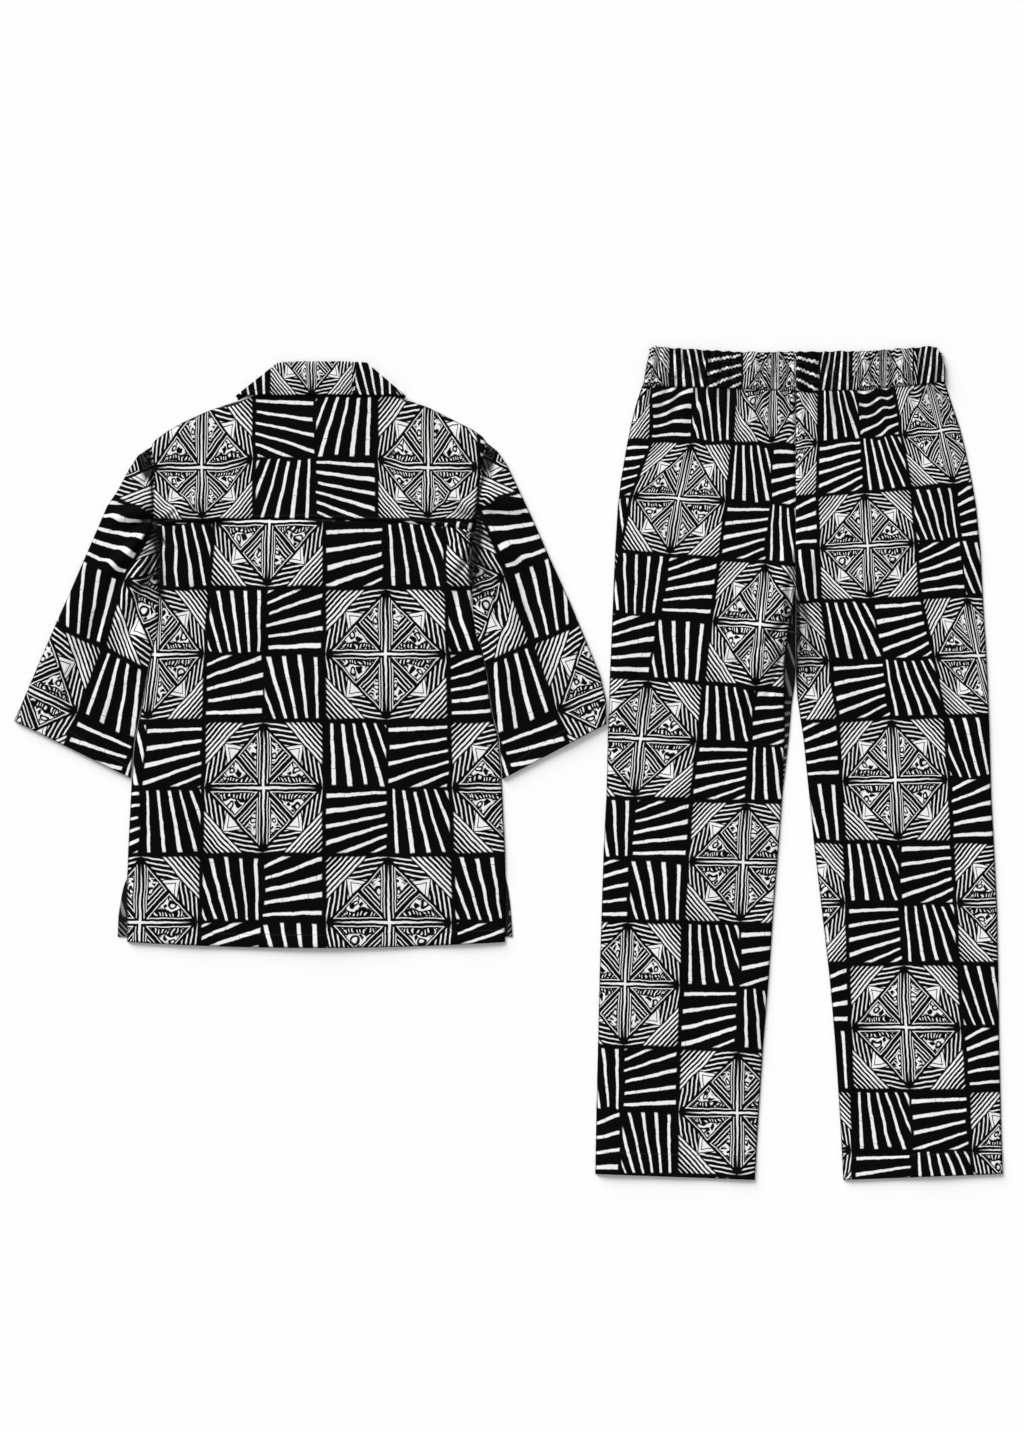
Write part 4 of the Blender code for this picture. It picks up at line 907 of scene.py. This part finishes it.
# Collar, from the end of its left wing to the middle of the back: the fold, then the outer edge.
# Its layer is 0 under the fronts, 1 over the yoke and 0.5 where it turns round the side of the neck.
collarCut = dict(slot="shirt_cloth", flat=(0.360, 0.048), depth=0.042, stitches=0.0055, height=0.0040)
collarLine = table("foldX foldUp edgeX edgeUp layer", [
    (-1.5, 661, -4, 643, 0), (-14, 666, -48, 610, 0), (-32, 684, -78, 640, 0), (-45, 708, -96, 672, 0),
    (-50, 727.5, -101.2, 688, 0), (-51.5, 729.5, -103, 689.8, 0.5), (-50, 732, -101.2, 691.5, 1),
    (-25, 733.5, -52, 691, 1), (5.4, 733.5, 3.5, 692.5, 1)])


def collarPrint(x, up):
    px, py = pixels(shirtPixel, x, up)
    u = np.interp(px, [-253, 211, 269, 353, 354.5, 416, 908], [-6.03, -0.67, 0, 0.985, 1.52, 2.25, 8.09])
    return np.stack([u, 0.345 - 0.325 * (py - 361.0) / 34.0], axis=-1)


def makeCollar():
    # Loft between the fold line and the outer edge, mirrored about the middle, with a rolled fold and edge
    doubled = dict(foldX=2 * collarFoldMiddle, edgeX=2 * collarMiddle)
    whole = {name: np.append(half, (doubled[name] - half[:-1] if name in doubled else half[:-1])[::-1])
             for name, half in collarLine.items()}
    edge = np.column_stack([whole["edgeX"], whole["edgeUp"]])
    run = distances(edge) + 0.0015 * np.arange(len(edge))
    at = stations(run[-1], 0.0028, [(run[4], 0.0008, 0.008), (run[-5], 0.0008, 0.008)])
    line = {name: np.interp(at, run, column) for name, column in whole.items()}
    depth, height = collarCut["depth"], collarCut["height"]
    s = shareStations(depth, 0.0026, (0.0, 0.0005, 0.002), (depth, 0.0005, 0.002),
                      (depth - 0.006, 0.0010, 0.003))[:, None]
    x, up = along(line["foldX"], line["edgeX"], s), along(line["foldUp"], line["edgeUp"], s)
    layer = smooth(line["layer"], 0.0, 1.0)
    fromFold, fromEdge = s * depth, (1.0 - s) * depth
    rolled = rounded(fromFold, 0.004) * rounded(fromEdge + 0.0004, 0.0016)
    crown = 0.0012 * rounded(fromFold, 0.012) * (1.0 - s) + 0.0002 * np.sin(60.0 * x)
    topBack = height + 0.0018 * rolled + crown - 0.0003 * bell(fromEdge, collarCut["stitches"], 0.0010)
    top = along(0.0003 + 0.001125 * rolled, topBack, layer)
    bottom = along(0.0002, height - 0.0004 * rolled, layer)
    return [np.stack([x, up, side], axis=-1) for side in (top, bottom)]


collarUpper, collarLower = makeCollar()
laid = collarPrint(collarUpper[..., 0], collarUpper[..., 1])
shade = 0.0 * laid[..., 0]
collar = leaf("collar", collarUpper, collarLower, laid, shade, shirtPlace, materials=(clothRight,))
finishPiece(collar, "shirt_collar")


# Trousers

gathers = dict(count=12, reach=0.100, legHeight=0.0018, legFine=0.0007, bandHeight=0.0019, bandFine=0.0006)


def gatherCount(share):
    # From the side seam to the seat seam the count runs a little ahead and behind, so the gathers are
    # unevenly spaced
    ahead = 0.018 * np.sin(4 * math.pi * share) + 0.010 * np.sin(10 * math.pi * share)
    return gathers["count"] * (share + ahead)


def gatherWave(share):
    # Height 0 to 1 of the gathers, (0.8 + 0.2 sin(2.3 n + 0.7)) * (1 - cos(2 pi n)) / 2: some stand higher
    count = gatherCount(share)
    return (0.80 + 0.20 * np.sin(2.3 * count + 0.7)) * (0.5 - 0.5 * np.cos(2 * math.pi * count))


def fineGather(share):
    # Smaller gathers between the large ones
    count = gathers["count"] * 2.0 * (share + 0.013 * np.sin(7.3 * math.pi * share + 1.0))
    return 0.5 - 0.5 * np.cos(2 * math.pi * count + 0.9)


backLeg = dict(slot="trousers_cloth", flat=(0.262, 1.000), length=0.988, width=0.215, hem=0.030)
frontLeg = dict(slot="trousers_cloth", flat=(0.250, 0.995),
                print=dict(origin=trousersPixel, column=796, row=442, size=(120, 128), tile=(0.5, 3.5)))


def legPlan(side, ways, shares, show=False):
    # Rows from the hem (way 0) to the waistband (way 1), whose curve they take on there
    outerSeam = read(band, bandEnds[side][0], "lower", "x")
    innerSeam = read(band, 0.0, "lower", "x")
    outerUp, innerUp = along(legHemOuter, outerSeam, ways), along(legHemInner, innerSeam, ways)
    outer = read(legOutline, outerUp, side + "Outer")[:, None]
    inner = read(legOutline, innerUp, side + "Inner")[:, None]
    if show:
        inner = inner + read(inseamShow, innerUp, "width")[:, None]
    x = along(outer, inner, shares)
    up = along(outerUp[:, None], innerUp[:, None], shares)
    curve = read(band, x, "lower", "x") - along(outerSeam, innerSeam, shares)
    return x, up + curve * smooth(ways, 0.75, 1.0)[:, None], outer, inner


def legTop(x, up, outer, inner, shares):
    # Height of a back leg: down at the side seam and the inseam, a groove at the seat seam, and the
    # gathers running on from the waistband
    atInseam = fade(up, seatSeamEnd - 0.05, seatSeamEnd + 0.01)
    fromInner, fromOuter = np.abs(x - inner), np.abs(x - outer)
    edge = np.minimum(rounded(fromOuter, edgeReach), along(1.0, rounded(fromInner, edgeReach), atInseam))
    below = read(band, x, "lower", "x") - up
    wave = gatherWave(shares) * gathers["legHeight"] \
        + fineGather(shares) * gathers["legFine"] * fade(below, 0.0, 0.05)
    wave = wave * fade(below, 0.0, gathers["reach"]) ** 1.5
    body = trousersRest + ridges(trousersFolds, x, up) + ripple(trousersWaves, x, up) + wave
    seat = seamGroove(fromInner, 0.0010, 0.0022) * (1.0 - atInseam)
    return along(seamHeight, np.maximum(body, trousersLeast), edge) + seat


def makeBackLeg(side):
    length, width, hem = backLeg["length"], backLeg["width"], backLeg["hem"]
    ways = shareStations(length, 0.0050, (0.0, 0.0009, 0.003), (hem, 0.0011, 0.004), (0.69, 0.0030, 0.07),
                         (length, 0.0009, 0.004), (length - 0.03, 0.0030, 0.03))
    shares = shareStations(width, 0.0040, (0.0, 0.0010, 0.005), (width, 0.0010, 0.005),
                           (width - 0.03, 0.0024, 0.03))
    x, up, outer, inner = legPlan(side, ways, shares)
    fromHem = (ways * length)[:, None] + 0.0 * x
    z = legTop(x, up, outer, inner, shares) + hemBand(fromHem, hem)
    z = z + seamGroove(length - fromHem, 0.0008, 0.003)
    below = read(band, x, "lower", "x") - up
    turn = 2 * math.pi * gatherCount(shares) + 0.0 * x
    gathered = np.stack([0.011 * np.sin(turn), 0.016 * np.sin(0.5 * turn + 30.0 * below)], axis=-1)
    gathered = gathered * fade(below, 0.0, 0.110)[..., None]
    laid = bentPrint(legLines[side], trousersPixel, x, up) + slide(trousersFolds, x, up) + gathered
    inseam = np.abs(x - inner) + 0.01 * smooth(up, seatSeamEnd - 0.01, seatSeamEnd)
    fromEdge = np.minimum(np.minimum(np.abs(x - outer), inseam), fromHem)
    # Painted shade in the valleys between the gathers below the waistband
    gatherShade = 0.42 * (1.0 - gatherWave(shares)) ** 3 * fade(below, 0.0, 0.075)
    shade = np.clip(dim(trousersFolds, trousersShades, x, up, fromEdge) + gatherShade, 0.0, 1.0)
    piece = shell("backLeg" + side.title(), (x, up, z), laid, shade, trousersPlace)
    finishPiece(piece, "trousers_back_" + side)


def makeFrontLeg(side):
    length, width, hem = backLeg["length"], backLeg["width"], backLeg["hem"]
    ways = shareStations(length, 0.0075, (0.0, 0.0012, 0.003), (hem, 0.0016, 0.004))
    shares = shareStations(width, 0.0065, (0.0, 0.0012, 0.004), (width, 0.0012, 0.004))
    x, up, outer, inner = legPlan(side, ways, shares, show=side == "left")
    z = floorGap + clothThickness + 0.00015 * (1.0 + np.sin(19.0 * x + 27.0 * up))
    z = z + 0.0003 * fade(ways[:, None] * length, hem - 0.001, hem + 0.001)
    # Painted shade on the strip of the front leg that shows beside the inseam, deep in the crotch's fold
    shade = 0.82 * smooth(up, 0.44, 0.60) * fade(np.abs(x - inner), 0.02, 0.03)
    laid = evenPrint(frontLeg["print"], x, up)
    piece = shell("frontLeg" + side.title(), (x, up, z), laid, shade, trousersPlace,
                  materials=(clothWrong, clothRight))
    finishPiece(piece, "trousers_front_" + side)


for side in ("left", "right"):
    makeBackLeg(side)
    makeFrontLeg(side)

# Waistband: a gathered ring with elastic in it, and rows of stitches that draw the gathers in
waist = dict(slot="trousers_cloth", flat=(0.760, 0.050), held="gathered", depth=0.048, thickness=0.0016,
             stitchRows=(0.010, 0.022, 0.034), middle=0.0024, height=0.0042)


def bandPrint(x, wayUp):
    px = trousersPixel[0] + x / pixel
    u = np.where(x < 0.0, np.interp(px, [597, 670, 742, 808], [-1.0, 0.0, 1.0, 2.0]),
                 np.interp(px, [724, 788, 852, 914, 917, 947], [2.0, 1.0, 0.0, -1.0, -1.5, -2.0]))
    return np.stack([u, 1.56 + 0.34 * wayUp + 0.0 * x], axis=-1)


def makeBand():
    # Columns from the left side seam over the seat seam to the right one, rows up from the leg seam
    depth, middle = waist["depth"], waist["middle"]
    half = stations(1.0, 0.0048, [(0.0, 0.0010, 0.008), (1.0, 0.0010, 0.003)])
    share, sign = np.concatenate([half, half[::-1]]), np.repeat([-1.0, 1.0], len(half))
    wayUp = shareStations(depth, 0.0024, (0.0, 0.0006, 0.002), (depth, 0.0005, 0.002))[:, None]
    x = np.where(sign < 0, read(bandEnds, wayUp, "left", "share"), read(bandEnds, wayUp, "right", "share"))
    x = x * (1.0 - share) + 0.00012 * sign
    lower = read(band, x, "lower", "x") + 0.0002
    upper = read(band, x, "upper", "x") + 0.0013 * (gatherWave(share) - 0.5)
    up = along(lower, upper, wayUp)
    fromTop, fromBottom = (1.0 - wayUp) * depth, wayUp * depth
    swell = 1.0 - 0.35 * sum(bell(fromBottom, place, 0.0022) for place in waist["stitchRows"])
    tilt = 0.05 * np.sin(9.0 * wayUp)
    tall, fine = gatherWave(share + tilt * 0.12), fineGather(share)
    top = waist["height"] + (tall * gathers["bandHeight"] + fine * gathers["bandFine"]) * swell
    distance = fromFolds(x, up)
    top = along(middle, top, rounded(distance, 0.0045))
    # The top edge is a fold too, where the casing turns over, and the foot sinks into its seam
    top = top - 0.0014 * (1.0 - rounded(fromTop, 0.0040)) - 0.0010 * (1.0 - rounded(fromBottom, 0.0030))
    bottom = along(middle, 0.0002, rounded(distance, 0.0035)) + 0.0010 * (1.0 - rounded(fromTop, 0.0030))
    turn = 2 * math.pi * gatherCount(share)
    waves = [0.005 * np.sin(turn + 7.0 * tilt), 0.0055 * np.sin(3.0 * turn + 5.0 * wayUp)]
    laid = bandPrint(x, wayUp) + np.stack(waves, axis=-1)
    uv = np.concatenate([laid, laid[:, ::-1] + np.array([4.0, 0.0])], axis=1)
    # Painted shade in the gathers' valleys, and along the band's folds and top edge
    gatherShade = (1.0 - tall) ** 3 * 0.50 + (1.0 - fine) ** 3 * 0.22
    shade = np.clip(gatherShade + 0.5 * fade(np.minimum(distance, fromTop), 0.0, 0.0025), 0.0, 1.0)
    grids = tube(x, x), tube(up, up), tube(top, bottom)
    piece = shell("waistband", grids, uv, tube(shade, shade), trousersPlace, ring=True,
                  thickness=waist["thickness"])
    finishPiece(piece, "trousers_waistband")
    return x, up, top, fromBottom[:, 0]


bandX, bandUp, bandTop, bandDistances = makeBand()
print("cloth made")

# Stitches: short threads along lines that lie on the cloth
stitch = dict(length=0.0023, pitch=0.0034, radius=0.00024, sides=6, raised=0.00005, underside=0.0003,
              rings=((-0.5, 0.25), (-0.38, 0.9), (0.38, 0.9), (0.5, 0.25)))


def makeStitches(name, lines, place, **change):
    # Threads on each line, one every pitch: centre + (forward, sideways, upward) * a pointed tube's rings
    own = dict(stitch, **change)
    angles = np.arange(own["sides"]) * 2 * math.pi / own["sides"]
    local = np.array([(a * own["length"], r * own["radius"] * math.cos(w), r * own["radius"] * math.sin(w))
                      for a, r in own["rings"] for w in angles])
    threads = []
    for line in lines:
        run = distances(line)
        at = (np.arange(int(run[-1] / own["pitch"])) + 0.5) * own["pitch"]
        centre, ahead, behind = [
            np.column_stack([np.interp(at + shift, run, line[:, k]) for k in range(3)])
            for shift in (0.0, 0.001, -0.001)]
        forward = ahead - behind
        forward /= np.linalg.norm(forward, axis=1, keepdims=True)
        sideways = np.cross(forward, (0.0, 0.0, 1.0))
        sideways /= np.linalg.norm(sideways, axis=1, keepdims=True)
        axes = np.stack([forward, sideways, np.cross(sideways, forward)], axis=1)
        threads.append((centre[:, None] + local @ axes).reshape(-1, 3))
    verts = np.concatenate(threads) + np.array([*place, 0.0])
    count = len(verts) // len(local)
    shift = (np.arange(count) * len(local))[:, None, None]
    faces = [(part[None, :, ::-1] + shift).reshape(-1, part.shape[1])
             for part in tubeFaces(len(own["rings"]), own["sides"])]
    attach(makeObject(name, verts, faces, [threadBlack]), "root")
    print(name, count, "stitches")


def onCloth(x, up, z):
    return np.column_stack([x, up, z + stitch["raised"]])


def onUnderside(x, up):
    return np.column_stack([x, up, np.full(len(x), stitch["underside"])])


def hemHeight(height, width):
    return height + hemBand(np.full_like(height, width - hemStitch), width)


shirtLines, trousersLines = [], []
x, up = backPlan(np.array([(back["hem"] - hemStitch) / back["length"]]), np.linspace(0.004, 0.996, 260))
shirtLines.append(onCloth(x[0], up[0], hemHeight(shirtTop(x, up), back["hem"])[0]))
x, up = yokePlan(np.array([0.0, 1.0]), np.linspace(0.004, 0.996, 220))
x, up = x[0], up[0] + yoke["stitches"]
shirtLines.append(onCloth(x, up, shirtTop(x, up) + yokeRise(yoke["stitches"]) - 0.00035))
for side in sleeves:
    way = 1.0 - (sleeve["hem"] - hemStitch) / sleeve["length"]
    x, up = sleevePlan(side, np.array([way]), np.linspace(0.02, 0.98, 90))[:, 0]
    shirtLines += [onCloth(x, up, hemHeight(shirtTop(x, up), sleeve["hem"])), onUnderside(x, up)]

# The collar's stitches run along its back part's outer edge
middle = collarUpper.shape[1] // 2
depths = np.linalg.norm(collarUpper[:, middle, :2] - collarUpper[0, middle, :2], axis=1)
row = collarUpper[np.argmin(np.abs(depths - (depths[-1] - collarCut["stitches"])))]
shirtLines.append(onCloth(*row[row[:, 2] > collarCut["height"]].T))

for side in ("left", "right"):
    way, shares = (backLeg["hem"] - hemStitch) / backLeg["length"], np.linspace(0.012, 0.988, 130)
    x, up, outer, inner = legPlan(side, np.array([way]), shares)
    z = hemHeight(legTop(x, up, outer, inner, shares), backLeg["hem"])
    trousersLines += [onCloth(x[0], up[0], z[0]), onUnderside(x[0], up[0])]
for place in waist["stitchRows"]:
    k = int(np.argmin(np.abs(bandDistances - place)))
    x, up, z = bandX[k, 3:-3], bandUp[k, 3:-3], bandTop[k, 3:-3]
    trousersLines += [onCloth(x, up, z), onUnderside(x, up)]

makeStitches("shirtStitches", shirtLines, shirtPlace)
makeStitches("trousersStitches", trousersLines, trousersPlace)

# Buttons, between the left front and the surface: a disc with a raised rim, whose profile is turned about
# its middle, and two threads across it
button = dict(slot="button", turns=48, first=0.610, pitch=0.105, top=0.0017)
button["profile"] = table("radius height", [
    (1, 0.9), (2.2, 0.9), (3.4, 0.95), (4, 1.2), (4.7, 1.6), (5.2, 1.6), (5.6, 1.3), (5.8, 0.9), (5.6, 0.4),
    (5, 0.1), (3, 0)])
for number in range(1, 6):
    spot = (shirtPlace[0], shirtPlace[1] + button["first"] - (number - 1) * button["pitch"])
    angles = np.arange(button["turns"]) * 2 * math.pi / button["turns"]
    radius, height = button["profile"]["radius"][:, None], button["profile"]["height"][:, None]
    verts = np.stack([spot[0] + radius * np.cos(angles), spot[1] + radius * np.sin(angles),
                      button["top"] - height + 0.0 * angles], axis=-1).reshape(-1, 3)
    disc = makeObject(f"button{number}", verts, tubeFaces(len(radius), button["turns"]), [buttonBlack])
    finishPiece(disc, f"shirt_button_{number}")
    threads = [np.array([(-0.0011, side, 0.0007), (0.0011, side, 0.0007)]) for side in (-0.0011, 0.0011)]
    makeStitches(f"buttonThread{number}", threads, spot, length=0.0022, pitch=0.0020, radius=0.0002)


# Floor, light and camera

studio = dict(floorSize=6.0, floorGrey=0.87, sky=0.50, sun=5.6, sunSide=128.0, sunHeight=21.0,
              sunSoftness=34.0, cameraPlace=(0.0044, 0.0575, 4.983), lens=100.0, sensor=36.0)
floorMaterial, tree, surface = newMaterial("paleFloor")
surface.inputs["Base Color"].default_value = (*[studio["floorGrey"]] * 3, 1.0)
surface.inputs["Roughness"].default_value = 1.0
surface.inputs["Specular IOR Level"].default_value = 0.0
corners = np.array([(-1, -1, 0), (1, -1, 0), (1, 1, 0), (-1, 1, 0)]) * studio["floorSize"] / 2
makeObject("floor", corners, [np.array([[0, 1, 2, 3]])], [floorMaterial])

world = bpy.data.worlds.new("studio")
world.use_nodes = True
world.node_tree.nodes["Background"].inputs["Color"].default_value = (1.0, 1.0, 1.0, 1.0)
world.node_tree.nodes["Background"].inputs["Strength"].default_value = studio["sky"]
bpy.context.scene.world = world

# Light from the upper left of the picture: the side is in degrees round from the right
light = bpy.data.lights.new("keyLight", "SUN")
light.energy, light.angle = studio["sun"], math.radians(studio["sunSoftness"])
lamp = bpy.data.objects.new("keyLight", light)
lamp.rotation_euler = (0.0, math.radians(90.0 - studio["sunHeight"]), math.radians(studio["sunSide"]))
bpy.context.scene.collection.objects.link(lamp)

camera = bpy.data.cameras.new("camera")
camera.lens, camera.sensor_width = studio["lens"], studio["sensor"]
camera.clip_start, camera.clip_end = 0.1, 50.0
viewer = bpy.data.objects.new("camera", camera)
viewer.location = studio["cameraPlace"]
bpy.context.scene.collection.objects.link(viewer)
bpy.context.scene.camera = viewer
bpy.context.scene.view_settings.view_transform = "Standard"
print("scene made")
